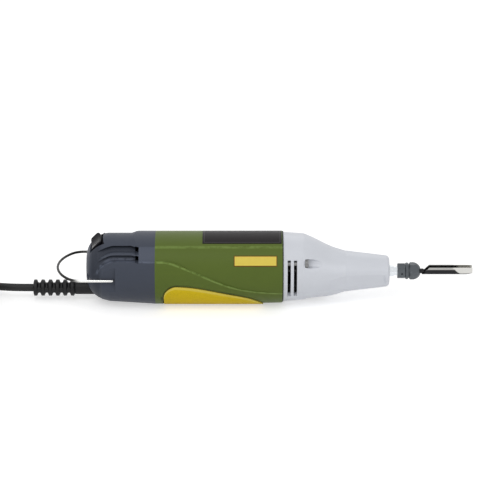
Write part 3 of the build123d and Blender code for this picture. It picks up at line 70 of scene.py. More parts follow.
# Edge lines in the side view, as (x, height over the axis)
BELLY_EDGE = tuple(
    (x * MM, z * MM)
    for x, z in (
        (-43.5, 13.8),
        (-36.5, 13.8),
        (-30.0, 12.2),
        (-20.0, 8.5),
        (-11.0, 4.6),
        (-2.6, 0.8),
        (6.0, -2.8),
        (14.8, -5.7),
        (24.0, -7.6),
        (34.0, -8.8),
        (43.5, -9.4),
    )
)
GRIP_EDGE = tuple(
    (x * MM, z * MM)
    for x, z in (
        (-37.6, -14.0),
        (-37.2, -11.0),
        (-36.2, -8.4),
        (-34.6, -6.2),
        (-32.4, -4.6),
        (-29.7, -3.8),
        (-20.0, -4.6),
        (-10.0, -6.6),
        (0.0, -8.9),
        (7.6, -10.6),
        (16.0, -12.9),
        (23.0, -15.8),
        (29.7, -20.8),
    )
)


class Body(str, Enum):
    """The bodies that the pieces made here ride on."""

    TOOL = "tool"
    SWITCH = "switch"


def linear(red: int, green: int, blue: int) -> Colour:
    """Turn a colour as seen on screen, 0 to 255, into the light values that shaders use."""

    def channel(value: int) -> float:
        share = value / 255
        return share / 12.92 if share <= 0.04045 else ((share + 0.055) / 1.055) ** 2.4

    return channel(red), channel(green), channel(blue)


# Shader expressions


@dataclass(frozen=True)
class Signal:
    """An output socket that takes part in Python expressions."""

    graph: "Graph"
    socket: bpy.types.NodeSocket

    def __add__(self, other: "Signal | float") -> "Signal":
        """Sum."""
        return self.graph.maths("ADD", self, other)

    def __radd__(self, other: float) -> "Signal":
        """Sum with a number on the left."""
        return self.graph.maths("ADD", other, self)

    def __sub__(self, other: "Signal | float") -> "Signal":
        """Difference."""
        return self.graph.maths("SUBTRACT", self, other)

    def __rsub__(self, other: float) -> "Signal":
        """Difference from a number on the left."""
        return self.graph.maths("SUBTRACT", other, self)

    def __mul__(self, other: "Signal | float") -> "Signal":
        """Product."""
        return self.graph.maths("MULTIPLY", self, other)

    def __rmul__(self, other: float) -> "Signal":
        """Product with a number on the left."""
        return self.graph.maths("MULTIPLY", other, self)

    def __truediv__(self, other: "Signal | float") -> "Signal":
        """Quotient."""
        return self.graph.maths("DIVIDE", self, other)

    def __abs__(self) -> "Signal":
        """Size without sign."""
        return self.graph.maths("ABSOLUTE", self, 0.0)


class Graph:
    """The node tree of a material or a world, written as expressions."""

    def __init__(self, owner: bpy.types.Material | bpy.types.World) -> None:
        """Start with an empty node tree.

        Args:
            owner: The material or world that the nodes are for.
        """
        owner.use_nodes = True
        self.owner = owner
        self.tree = owner.node_tree
        self.tree.nodes.clear()

    def node(
        self,
        kind: str,
        settings: dict[str, Any] | None = None,
        sockets: dict[str | int, Any] | None = None,
        output: int = 0,
    ) -> Signal:
        """Add a node.

        Args:
            kind: The node's type.
            settings: Its settings; "stops" is a ramp's list of (place, colour).
            sockets: Values or signals for its inputs, by name or number.
            output: The number of the output to return.

        Returns:
            The chosen output, or the first input of a closing node.
        """
        made = self.tree.nodes.new(kind)
        for key, value in (settings or {}).items():
            if key == "stops":
                self._set_stops(made.color_ramp, value)
            else:
                setattr(made, key, value)
        for key, value in (sockets or {}).items():
            self._feed(made.inputs[key], value)
        return Signal(self, made.outputs[output] if made.outputs else made.inputs[0])

    def _feed(self, target: bpy.types.NodeSocket, value: Any) -> None:
        """Link a signal to a socket, or set the socket's own value."""
        if isinstance(value, Signal):
            self.tree.links.new(value.socket, target)
        elif isinstance(value, tuple) and len(value) == 3 and target.type == "RGBA":
            target.default_value = (*value, 1.0)
        else:
            target.default_value = value

    @staticmethod
    def _set_stops(ramp: bpy.types.ColorRamp, stops: Sequence[tuple[float, Colour]]) -> None:
        """Give a colour ramp its stops."""
        while len(ramp.elements) > 1:
            ramp.elements.remove(ramp.elements[-1])
        for number, (place, colour) in enumerate(stops):
            stop = ramp.elements[0] if number == 0 else ramp.elements.new(place)
            stop.position = place
            stop.color = (*colour, 1.0)

    def maths(self, operation: str, first: Any, second: Any) -> Signal:
        """A Math node on two values or signals."""
        return self.node("ShaderNodeMath", {"operation": operation}, {0: first, 1: second})

    def larger(self, first: Any, second: Any) -> Signal:
        """The larger of two values."""
        return self.maths("MAXIMUM", first, second)

    def step(self, value: Any, low: float, high: float) -> Signal:
        """A smooth rise from 0 at low to 1 at high, or a fall where low is above high."""
        settings = {"interpolation_type": "SMOOTHSTEP", "clamp": True}
        if low < high:
            return self.node("ShaderNodeMapRange", settings, {0: value, 1: low, 2: high})
        fall = self.node("ShaderNodeMapRange", settings, {0: value, 1: high, 2: low})
        return 1.0 - fall

    def place(self) -> Signal:
        """The point on the piece, in metres."""
        return self.node("ShaderNodeTexCoord", output=3)

    def stretched(
        self, point: Signal, scale: Sequence[float], shift: Sequence[float] = (0, 0, 0)
    ) -> Signal:
        """A point shifted and scaled, to centre or stretch a pattern."""
        return self.node(
            "ShaderNodeMapping",
            {"vector_type": "POINT"},
            {"Vector": point, "Location": tuple(shift), "Scale": tuple(scale)},
        )

    def axes(self, point: Signal) -> tuple[Signal, Signal, Signal]:
        """The three parts of a point."""
        split = self.node("ShaderNodeSeparateXYZ", None, {0: point})
        outputs = split.socket.node.outputs
        return Signal(self, outputs[0]), Signal(self, outputs[1]), Signal(self, outputs[2])

    def about(self, point: Signal, height: float) -> tuple[Signal, Signal, Signal]:
        """The three parts of a point, with the last one measured from a height in metres."""
        return self.axes(self.stretched(point, (1, 1, 1), (0, 0, -height)))

    def noise(self, point: Signal, size: float, detail: float = 2.0, rough: float = 0.5) -> Signal:
        """Cloudy noise around 0.5, with features about size metres across."""
        return self.node(
            "ShaderNodeTexNoise",
            {"noise_dimensions": "3D"},
            {"Vector": point, "Scale": 1.0 / size, "Detail": detail, "Roughness": rough},
        )

    def pebbles(self, point: Signal, size: float) -> Signal:
        """Distance to the nearest of many scattered points, in cells."""
        return self.node(
            "ShaderNodeTexVoronoi", {"feature": "F1"}, {"Vector": point, "Scale": 1.0 / size}
        )

    def tint(self, colour: Colour, strength: Signal) -> Signal:
        """A colour made lighter or darker by a signal around 1."""
        return self.node(
            "ShaderNodeVectorMath", {"operation": "SCALE"}, {0: colour, "Scale": strength}
        )

    def blend(self, mask: Signal, below: Any, above: Any) -> Signal:
        """One colour where the mask is 0 and another where it is 1."""
        return self.node(
            "ShaderNodeMix", {"data_type": "RGBA"}, {0: mask, 6: below, 7: above}, output=2
        )

    def relief(self, height: Signal, depth: float) -> Signal:
        """A normal from a height signal, with depth in metres for a height of 1."""
        return self.node(
            "ShaderNodeBump", None, {"Height": height, "Distance": depth, "Strength": 1.0}
        )

    def curve(self, value: Signal, table: Sequence[tuple[float, float]]) -> Signal:
        """A height that follows a table of (place, height) pairs, straight between them.

        Args:
            value: The place along the table.
            table: Pairs in growing order of place, in metres; ends carry on level.

        Returns:
            The height in metres.
        """
        places = [place for place, _ in table]
        heights = [height for _, height in table]
        low, high = min(heights), max(heights)
        shares = [(height - low) / (high - low) for height in heights]
        span = places[-1] - places[0]
        stops = [((place - places[0]) / span, (share,) * 3) for place, share in zip(places, shares)]
        ramp = self.node(
            "ShaderNodeValToRGB", {"stops": stops}, {0: (value - places[0]) / span}
        )
        part, _, _ = self.axes(ramp)
        return part * (high - low) + low

    def band(self, value: Signal, half: float, soft: float) -> Signal:
        """1 within half a width of zero, falling to 0 over a soft edge."""
        return self.step(abs(value), half + soft, half)

    def shade(self, **sockets: Any) -> None:
        """Close the tree with a principled surface; words in socket names join with _."""
        named = {key.replace("_", " "): value for key, value in sockets.items()}
        surface = self.node("ShaderNodeBsdfPrincipled", None, named)
        self.node("ShaderNodeOutputMaterial", None, {"Surface": surface})


# Finishes

DRAWN: dict[str, bpy.types.Material] = {}


@dataclass(frozen=True)
class Finish:
    """A surface finish; each kind draws its own nodes once and shares the material."""

    name: str
    colour: tuple[int, int, int]
    roughness: float = 0.5
    gloss: float = 0.5

    def material(self) -> bpy.types.Material:
        """Return the finish's material, drawing it the first time."""
        if self.name not in DRAWN:
            DRAWN[self.name] = bpy.data.materials.new(f"finish_{self.name}")
            self.draw(Graph(DRAWN[self.name]))
        return DRAWN[self.name]

    def draw(self, graph: Graph) -> None:
        """Add the finish's nodes to a graph."""
        raise NotImplementedError


@dataclass(frozen=True)
class MouldedPlastic(Finish):
    """Moulded plastic: a fine spark-eroded grain, cloudy colour and a few dull rub marks."""

    grain: float = 0.35 * MM
    grain_depth: float = 0.012 * MM
    mottle: float = 0.10

    def tone(self, cloud: Signal, fine: Signal) -> Signal:
        """The colour's strength around 1: clouds by the mottle and grain by half of it."""
        return 1.0 + (cloud - 0.5) * self.mottle + (fine - 0.5) * (0.5 * self.mottle)

    def skin(self, graph: Graph, point: Signal, fine: Signal) -> Signal:
        """The spark-eroded surface: noise plus scattered pits."""
        pits = graph.pebbles(point, 2.2 * self.grain)
        return graph.relief(fine * 0.6 + pits * 0.6, self.grain_depth)

    def draw(self, graph: Graph) -> None:
        """Colour wanders by the mottle; rub marks are peaks of a noise drawn out along X."""
        point = graph.place()
        cloud = graph.noise(point, 9 * MM, 3)
        drawn_out = graph.stretched(point, (0.35, 1, 1))
        rubs = graph.step(graph.noise(drawn_out, 3.1 * MM, 4, 0.62), 0.56, 0.72)
        fine = graph.noise(point, self.grain, 2)
        tone = self.tone(cloud, fine) + rubs * 0.03
        graph.shade(
            Base_Color=graph.tint(linear(*self.colour), tone),
            Roughness=self.roughness + (cloud - 0.5) * 0.10 + rubs * 0.05,
            Specular_IOR_Level=self.gloss,
            Normal=self.skin(graph, point, fine),
        )


@dataclass(frozen=True)
class BarrelShell(MouldedPlastic):
    """The barrel's moulded plastic, with painted highlights along the belly's and crown's lines and
    painted shadow round the grip.
    """

    # rubbed: the colour of the painted highlights on the belly's and crown's lines
    rubbed: tuple[int, int, int] = (132, 156, 82)
    # shaded: the colour of the painted shadow round the grip
    shaded: tuple[int, int, int] = (58, 66, 26)
    crown_edge: float = 20.8 * MM
    grip_rear: float = -40.5 * MM
    grip_front: float = 33.0 * MM

    def draw(self, graph: Graph) -> None:
        """Painted edge highlights and painted shadow are bands round heights that follow the
        belly's line and the grip's outline.
        """
        point = graph.place()
        along, _, up = graph.about(point, AXIS_Z)
        cloud = graph.noise(point, 9 * MM, 3)
        fine = graph.noise(point, self.grain, 2)
        # wear: a noise that breaks the painted highlights into patches
        wear = graph.step(graph.noise(point, 4 * MM, 4, 0.6), 0.30, 0.62)
        belly = graph.band(up - graph.curve(along, BELLY_EDGE) + 0.55 * MM, 0.35 * MM, 0.45 * MM)
        crown = graph.band(abs(up) - self.crown_edge, 0.20 * MM, 0.55 * MM) * 0.6
        # painted shadow in a band above the grip's outline
        painted_grip_shadow = graph.step(up - graph.curve(along, GRIP_EDGE), 2.6 * MM, 0.6 * MM)
        painted_grip_shadow = painted_grip_shadow * graph.step(along, self.grip_rear, self.grip_rear + 1.5 * MM)
        painted_grip_shadow = painted_grip_shadow * graph.step(along, self.grip_front, self.grip_front - 5 * MM)
        base = graph.tint(linear(*self.colour), self.tone(cloud, fine))
        # painted highlights on the belly's line and the crown's line
        edges = graph.larger(belly, crown) * wear
        lit = graph.blend(edges * 0.8, base, linear(*self.rubbed))
        graph.shade(
            Base_Color=graph.blend(painted_grip_shadow * 0.75, lit, linear(*self.shaded)),
            Roughness=self.roughness + (cloud - 0.5) * 0.10 - edges * 0.08,
            Specular_IOR_Level=self.gloss,
            Normal=self.skin(graph, point, fine),
        )


@dataclass(frozen=True)
class CapShell(MouldedPlastic):
    """The cap's moulded plastic, with painted shade in its air grooves, painted highlights on the
    cheeks' edges and a painted lighter band on its front shoulder.
    """

    waist: float = -55.5 * MM
    groove_rear: float = -89.0 * MM
    groove_top: float = 22.9 * MM
    groove_floor: float = 21.3 * MM
    corner_x: float = -71.0 * MM
    corner_z: float = 0.8 * MM
    corner_radius: float = 12.6 * MM
    cheek_top: float = 13.3 * MM
    flank_middle: float = 17.4 * MM
    flank_half: float = 3.2 * MM

    def draw(self, graph: Graph) -> None:
        """The painted shade's depth in a groove is read as distance from the barrel's axis.

        The painted highlight on the cheek's edge is a quarter circle round its corner and a level
        line from there on.
        """
        point = graph.place()
        along, across, up = graph.about(point, AXIS_Z)
        distance = graph.maths("SQRT", across * across + up * up, 0.0)
        # painted shade in the air grooves, darkest towards the groove floor
        painted_groove_shade = graph.step(distance, self.groove_top, self.groove_floor)
        painted_groove_shade = painted_groove_shade * graph.step(along, self.groove_rear, self.groove_rear + 3 * MM)
        cloud = graph.noise(point, 7 * MM, 3)
        fine = graph.noise(point, self.grain, 2)
        wear = graph.step(graph.noise(point, 4 * MM, 4, 0.6), 0.30, 0.62)
        # painted highlights along the cheek's edge; wear is a noise that breaks them into patches
        from_x, from_z = along - self.corner_x, up - self.corner_z
        corner = graph.maths("SQRT", from_x * from_x + from_z * from_z, 0.0)
        painted_corner_highlight = graph.band(corner - self.corner_radius, 0.45 * MM, 0.7 * MM)
        painted_corner_highlight = painted_corner_highlight * graph.step(from_x, 0.5 * MM, -0.5 * MM) * graph.step(from_z, 2 * MM, 4 * MM)
        # painted highlight along the cheek's level top line
        line = graph.band(up - self.cheek_top, 0.3 * MM, 0.5 * MM)
        line = line * graph.step(along, self.corner_x - 1 * MM, self.corner_x + 1 * MM)
        # edge: the painted highlights of the corner and of the top line together
        edge = graph.larger(painted_corner_highlight, line) * wear
        # painted light: a lighter band on the front shoulder, which faces up towards the lamps
        painted_shoulder_light = graph.step(along, self.waist, self.waist + 1 * MM)
        painted_shoulder_light = painted_shoulder_light * graph.band(up - self.flank_middle, self.flank_half, 0.6 * MM)
        tone = self.tone(cloud, fine)
        # tone: painted groove shade, painted edge highlights and painted light on the front
        # shoulder
        tone = tone - painted_groove_shade * 0.35 + edge * 0.85 + painted_shoulder_light * 0.42
        graph.shade(
            Base_Color=graph.tint(linear(*self.colour), tone),
            Roughness=self.roughness + (cloud - 0.5) * 0.12 + painted_groove_shade * 0.08,
            Specular_IOR_Level=self.gloss,
            Normal=self.skin(graph, point, fine),
        )


@dataclass(frozen=True)
class GripRubber(Finish):
    """Soft moulded grip: small pebbles, a painted highlight along its upper edge and a trace of
    hand dirt.
    """

    painted_edge_highlight: tuple[int, int, int] = (236, 216, 96)

    def draw(self, graph: Graph) -> None:
        """Pebbles are rounded Voronoi cells; dirt gathers between them in patches."""
        point = graph.place()
        cells = graph.pebbles(point, 0.9 * MM)
        along, _, up = graph.about(point, AXIS_Z)
        # painted highlight along the grip's upper edge, just under its outline
        painted_edge_highlight = graph.step(up - graph.curve(along, GRIP_EDGE), -2.4 * MM, -1.2 * MM)
        valley = graph.step(cells, 0.35, 0.75)
        patch = graph.step(graph.noise(point, 11 * MM, 4, 0.6), 0.45, 0.75)
        cloud = graph.noise(point, 6 * MM, 3)
        tone = 1.0 + (cloud - 0.5) * 0.10 - valley * 0.05 - patch * valley * 0.10
        base = graph.tint(linear(*self.colour), tone)
        graph.shade(
            Base_Color=graph.blend(painted_edge_highlight * 0.8, base, linear(*self.painted_edge_highlight)),
            Roughness=self.roughness + valley * 0.08 - patch * 0.05,
            Specular_IOR_Level=self.gloss,
            Normal=graph.relief(1.0 - valley, 0.02 * MM),
        )


@dataclass(frozen=True)
class CastAlloy(Finish):
    """Fettled and lacquered die casting: fine grain, soft flow marks and a few small pits."""

    metal: float = 0.6

    def draw(self, graph: Graph) -> None:
        """Flow marks are noise drawn out along the nose; pits are rare dark dots."""
        point = graph.place()
        flow = graph.noise(graph.stretched(point, (0.3, 1, 1)), 5 * MM, 4, 0.55)
        fine = graph.noise(point, 0.28 * MM, 3, 0.6)
        pits = graph.step(graph.pebbles(point, 2.6 * MM), 0.10, 0.04)
        cloud = graph.noise(point, 14 * MM, 2)
        tone = 1.0 + (cloud - 0.5) * 0.06 + (flow - 0.5) * 0.05 + (fine - 0.5) * 0.04 - pits * 0.10
        graph.shade(
            Base_Color=graph.tint(linear(*self.colour), tone),
            Metallic=self.metal,
            Roughness=self.roughness + (flow - 0.5) * 0.12 + (fine - 0.5) * 0.08,
            Specular_IOR_Level=self.gloss,
            Normal=graph.relief(fine * 0.7 + flow * 0.5 - pits * 0.8, 0.014 * MM),
        )


@dataclass(frozen=True)
class TurnedSteel(Finish):
    """Lathe-turned steel: fine rings along X, oil film in patches and bright rubbed spots."""

    ring: float = 0.12 * MM
    ring_depth: float = 0.004 * MM
    metal: float = 1.0
    wear: float = 0.25

    def draw(self, graph: Graph) -> None:
        """Rings are noise squeezed along X; wear lightens the colour where a cloud is high."""
        point = graph.place()
        rings = graph.noise(graph.stretched(point, (1, 0.02, 0.02)), self.ring, 2)
        cloud = graph.noise(point, 2.4 * MM, 4, 0.6)
        worn = graph.step(cloud, 0.54, 0.72)
        tone = 1.0 + (rings - 0.5) * 0.16 + worn * self.wear
        graph.shade(
            Base_Color=graph.tint(linear(*self.colour), tone),
            Metallic=self.metal,
            Roughness=self.roughness + (rings - 0.5) * 0.12 + (cloud - 0.5) * 0.12,
            Specular_IOR_Level=self.gloss,
            Normal=graph.relief(rings, self.ring_depth),
        )


@dataclass(frozen=True)
class BrightWire(Finish):
    """Drawn and nickel-plated wire: faint draw lines, dull specks, and a painted dark reflection on
    the bow and the far leg.
    """

    # dull: the colour of the painted dark reflection on the bow and the far leg
    dull: tuple[int, int, int] = (58, 58, 57)
    bow_from: float = -93.0 * MM
    bow_end: float = -150.0 * MM

    def draw(self, graph: Graph) -> None:
        """Draw lines are noise stretched far along the leg; specks are small noise peaks."""
        point = graph.place()
        lines = graph.noise(graph.stretched(point, (0.05, 1, 1)), 0.25 * MM, 2)
        specks = graph.step(graph.noise(point, 0.8 * MM, 3, 0.6), 0.62, 0.75)
        along, across, _ = graph.axes(point)
        # painted dark reflection: darker on the bow and on the far leg
        bow = graph.step(along, self.bow_from, self.bow_from - 7 * MM)
        painted_dark_reflection = graph.larger(bow, graph.step(across, 0.0, 4 * MM))
        painted_dark_reflection = painted_dark_reflection * graph.step(along, self.bow_end, self.bow_end + 20 * MM)
        bright = graph.tint(linear(*self.colour), 1.0 + (lines - 0.5) * 0.06 - specks * 0.12)
        graph.shade(
            Base_Color=graph.blend(painted_dark_reflection, bright, linear(*self.dull)),
            Metallic=1.0,
            Roughness=self.roughness + (lines - 0.5) * 0.08 + specks * 0.20,
            Specular_IOR_Level=self.gloss,
            Normal=graph.relief(lines, 0.002 * MM),
        )


@dataclass(frozen=True)
class GougeSteel(Finish):
    """Blackened tool steel whose last stretch is ground bright on the cutting bevel, with a painted
    highlight along its upper edge.
    """

    ground_from: float = 164.5 * MM
    ground: tuple[int, int, int] = (205, 204, 200)
    ground_slant: float = 1.2
    ground_low: float = -1.1 * MM
    rim_height: float = 1.9 * MM
    rim_from: float = 141.0 * MM

    def draw(self, graph: Graph) -> None:
        """The ground zone starts on a slanting, slightly ragged line and shows grinding lines."""
        point = graph.place()
        along, _, up = graph.about(point, SPINDLE_Z)
        ragged = (graph.noise(point, 1.2 * MM, 3) - 0.5) * (1.6 * MM)
        slanted = along + up * self.ground_slant + ragged
        bare = graph.step(slanted, self.ground_from, self.ground_from + 0.9 * MM)
        bare = bare * graph.step(up, self.ground_low, self.ground_low + 0.5 * MM)
        # painted highlight along the blade's upper edge, in the ground steel's colour
        painted_edge_highlight = graph.step(up, self.rim_height, self.rim_height + 0.4 * MM)
        painted_edge_highlight = painted_edge_highlight * graph.step(along, self.rim_from, self.rim_from + 2 * MM) * 0.6
        grind = graph.noise(graph.stretched(point, (0.25, 1, 1)), 0.10 * MM, 2)
        scale = graph.noise(point, 0.7 * MM, 4, 0.65)
        rubbed = graph.step(scale, 0.58, 0.75)
        black = graph.tint(linear(*self.colour), 1.0 + rubbed * 1.2 + (scale - 0.5) * 0.5)
        bright = graph.tint(linear(*self.ground), 1.0 + (grind - 0.5) * 0.20)
        graph.shade(
            # the bare ground steel and the painted highlight share one bright colour
            Base_Color=graph.blend(graph.larger(bare, painted_edge_highlight), black, bright),
            Metallic=1.0,
            Roughness=self.roughness + (scale - 0.5) * 0.16 - bare * 0.06,
            Specular_IOR_Level=self.gloss,
            Normal=graph.relief(scale * 0.5 * (1.0 - bare) + grind * bare * 0.4, 0.010 * MM),
        )


@dataclass(frozen=True)
class SheathRubber(Finish):
    """Extruded or moulded black sheath: faint lengthwise drag lines, bloom and fine dust."""

    def draw(self, graph: Graph) -> None:
        """Bloom is a large soft cloud that greys and dulls the sheath."""
        point = graph.place()
        bloom = graph.step(graph.noise(point, 13 * MM, 3), 0.40, 0.70)
        dust = graph.step(graph.noise(point, 0.5 * MM, 4, 0.7), 0.60, 0.78)
        skin = graph.noise(point, 0.30 * MM, 3)
        tone = 1.0 + bloom * 0.30 + dust * 0.35 + (skin - 0.5) * 0.2
        graph.shade(
            Base_Color=graph.tint(linear(*self.colour), tone),
            Roughness=self.roughness + bloom * 0.08 + dust * 0.10,
            Specular_IOR_Level=self.gloss,
            Normal=graph.relief(skin, 0.010 * MM),
        )


@dataclass(frozen=True)
class BorderedPlate(Finish):
    """A bare printed plate with a dark line along its edge, under a satin film."""

    border: tuple[int, int, int] = (124, 68, 22)
    middle: tuple[float, float, float] = (0.0, 0.0, 0.0)
    half_length: float = 14.65 * MM
    half_width: float = 3.6 * MM
    tilt: float = 33.5
    line: float = 0.6 * MM
    inset: float = -0.2 * MM

    def draw(self, graph: Graph) -> None:
        """The distance to the plate's edge is the least of its two straight-line distances."""
        point = graph.place()
        along, across, up = graph.axes(
            graph.stretched(point, (1, 1, 1), tuple(-value for value in self.middle))
        )
        turn = math.radians(self.tilt)
        side = across * math.sin(turn) + up * math.cos(turn)
        to_end = self.half_length - abs(along)
        to_side = self.half_width - abs(side)
        edge = graph.maths("MINIMUM", to_end, to_side)
        inner = graph.step(edge, self.inset + self.line + 0.10 * MM, self.inset + self.line)
        outer = graph.step(edge, self.inset, self.inset + 0.10 * MM)
        line = inner * outer
        cloud = graph.noise(point, 4 * MM, 3)
        fine = graph.noise(point, 0.2 * MM, 3)
        base = graph.tint(linear(*self.colour), 1.0 + (cloud - 0.5) * 0.10 + (fine - 0.5) * 0.06)
        graph.shade(
            Base_Color=graph.blend(line, base, linear(*self.border)),
            Roughness=self.roughness + (cloud - 0.5) * 0.10 + line * 0.05,
            Specular_IOR_Level=self.gloss,
            Normal=graph.relief(fine * 0.4 - line * 0.8, 0.012 * MM),
        )


@dataclass(frozen=True)
class WoundCopper(Finish):
    """Enamelled copper: many fine turns side by side, with varnish gathered between them."""

    def draw(self, graph: Graph) -> None:
        """Turns are sine waves along the winding, bent a little by noise."""
        point = graph.place()
        wave = graph.node(
            "ShaderNodeTexWave",
            {"wave_type": "BANDS", "bands_direction": "Y"},
            {"Vector": point, "Scale": 420.0, "Distortion": 1.5, "Detail": 2.0},
            output=1,
        )
        cloud = graph.noise(point, 3 * MM, 3)
        graph.shade(
            Base_Color=graph.tint(linear(*self.colour), 0.75 + wave * 0.35 + (cloud - 0.5) * 0.2),
            Metallic=0.85,
            Roughness=self.roughness + (cloud - 0.5) * 0.15,
            Specular_IOR_Level=self.gloss,
            Normal=graph.relief(wave, 0.08 * MM),
        )


@dataclass(frozen=True)
class StackedSheets(Finish):
    """A stack of stamped steel sheets: thin lines across X and a brushed varnish."""

    def draw(self, graph: Graph) -> None:
        """Sheets are bands along X; the varnish is a soft cloud."""
        point = graph.place()
        bands = graph.node(
            "ShaderNodeTexWave",
            {"wave_type": "BANDS", "bands_direction": "X"},
            {"Vector": point, "Scale": 320.0},
            output=1,
        )
        cloud = graph.noise(point, 5 * MM, 3)
        graph.shade(
            Base_Color=graph.tint(linear(*self.colour), 0.85 + bands * 0.2 + (cloud - 0.5) * 0.2),
            Metallic=0.8,
            Roughness=self.roughness + (cloud - 0.5) * 0.15,
            Specular_IOR_Level=self.gloss,
            Normal=graph.relief(bands, 0.05 * MM),
        )


# Meshes


def grid_mesh(name: str, points: np.ndarray, round_u: bool, round_v: bool) -> bpy.types.Mesh:
    """Make a mesh from a grid of points, with a UV map that follows the grid.

    Args:
        name: The mesh's name.
        points: The grid, shape (u, v, 3), in metres.
        round_u: Whether the last row joins the first.
        round_v: Whether the last column joins the first.

    Returns:
        The mesh, smooth shaded.
    """
    count_u, count_v = points.shape[:2]
    rows = np.arange(count_u if round_u else count_u - 1)
    columns = np.arange(count_v if round_v else count_v - 1)
    u, v = (part.ravel() for part in np.meshgrid(rows, columns, indexing="ij"))
    next_u, next_v = (u + 1) % count_u, (v + 1) % count_v
    corners = [(u, v), (next_u, v), (next_u, next_v), (u, next_v)]
    quads = np.stack([row * count_v + column for row, column in corners], axis=1)
    mesh = bpy.data.meshes.new(name)
    mesh.vertices.add(count_u * count_v)
    mesh.vertices.foreach_set("co", points.reshape(-1).astype(np.float32))
    mesh.loops.add(quads.size)
    mesh.loops.foreach_set("vertex_index", quads.reshape(-1).astype(np.int32))
    mesh.polygons.add(len(quads))
    mesh.polygons.foreach_set("loop_start", np.arange(0, quads.size, 4, dtype=np.int32))
    mesh.polygons.foreach_set("use_smooth", np.ones(len(quads), dtype=bool))
    mesh.update(calc_edges=True)
    chart = mesh.uv_layers.new(name="chart")
    sides_u = np.stack([u, u + 1, u + 1, u], axis=1) / len(rows)
    sides_v = np.stack([v, v, v + 1, v + 1], axis=1) / len(columns)
    uv = np.stack([sides_u, sides_v], axis=2)
    chart.data.foreach_set("uv", uv.reshape(-1).astype(np.float32))
    return mesh


def placed(mesh: bpy.types.Mesh, finish: Finish, body: Body) -> bpy.types.Object:
    """Show a mesh as a piece that rides on a body.

    Args:
        mesh: The piece's mesh, in the tool's frame.
        finish: Its surface.
        body: The body that carries it.

    Returns:
        The piece.
    """
    piece = bpy.data.objects.new(mesh.name, mesh)
    bpy.context.scene.collection.objects.link(piece)
    mesh.materials.append(finish.material())
    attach(piece, body.value)
    return piece


def smooth(value: np.ndarray | float, low: float, high: float) -> np.ndarray:
    """A smooth rise from 0 at low to 1 at high: 3t² - 2t³ on the clipped share t."""
    share = np.clip((value - low) / (high - low), 0.0, 1.0)
    return share * share * (3 - 2 * share)


# Mains lead


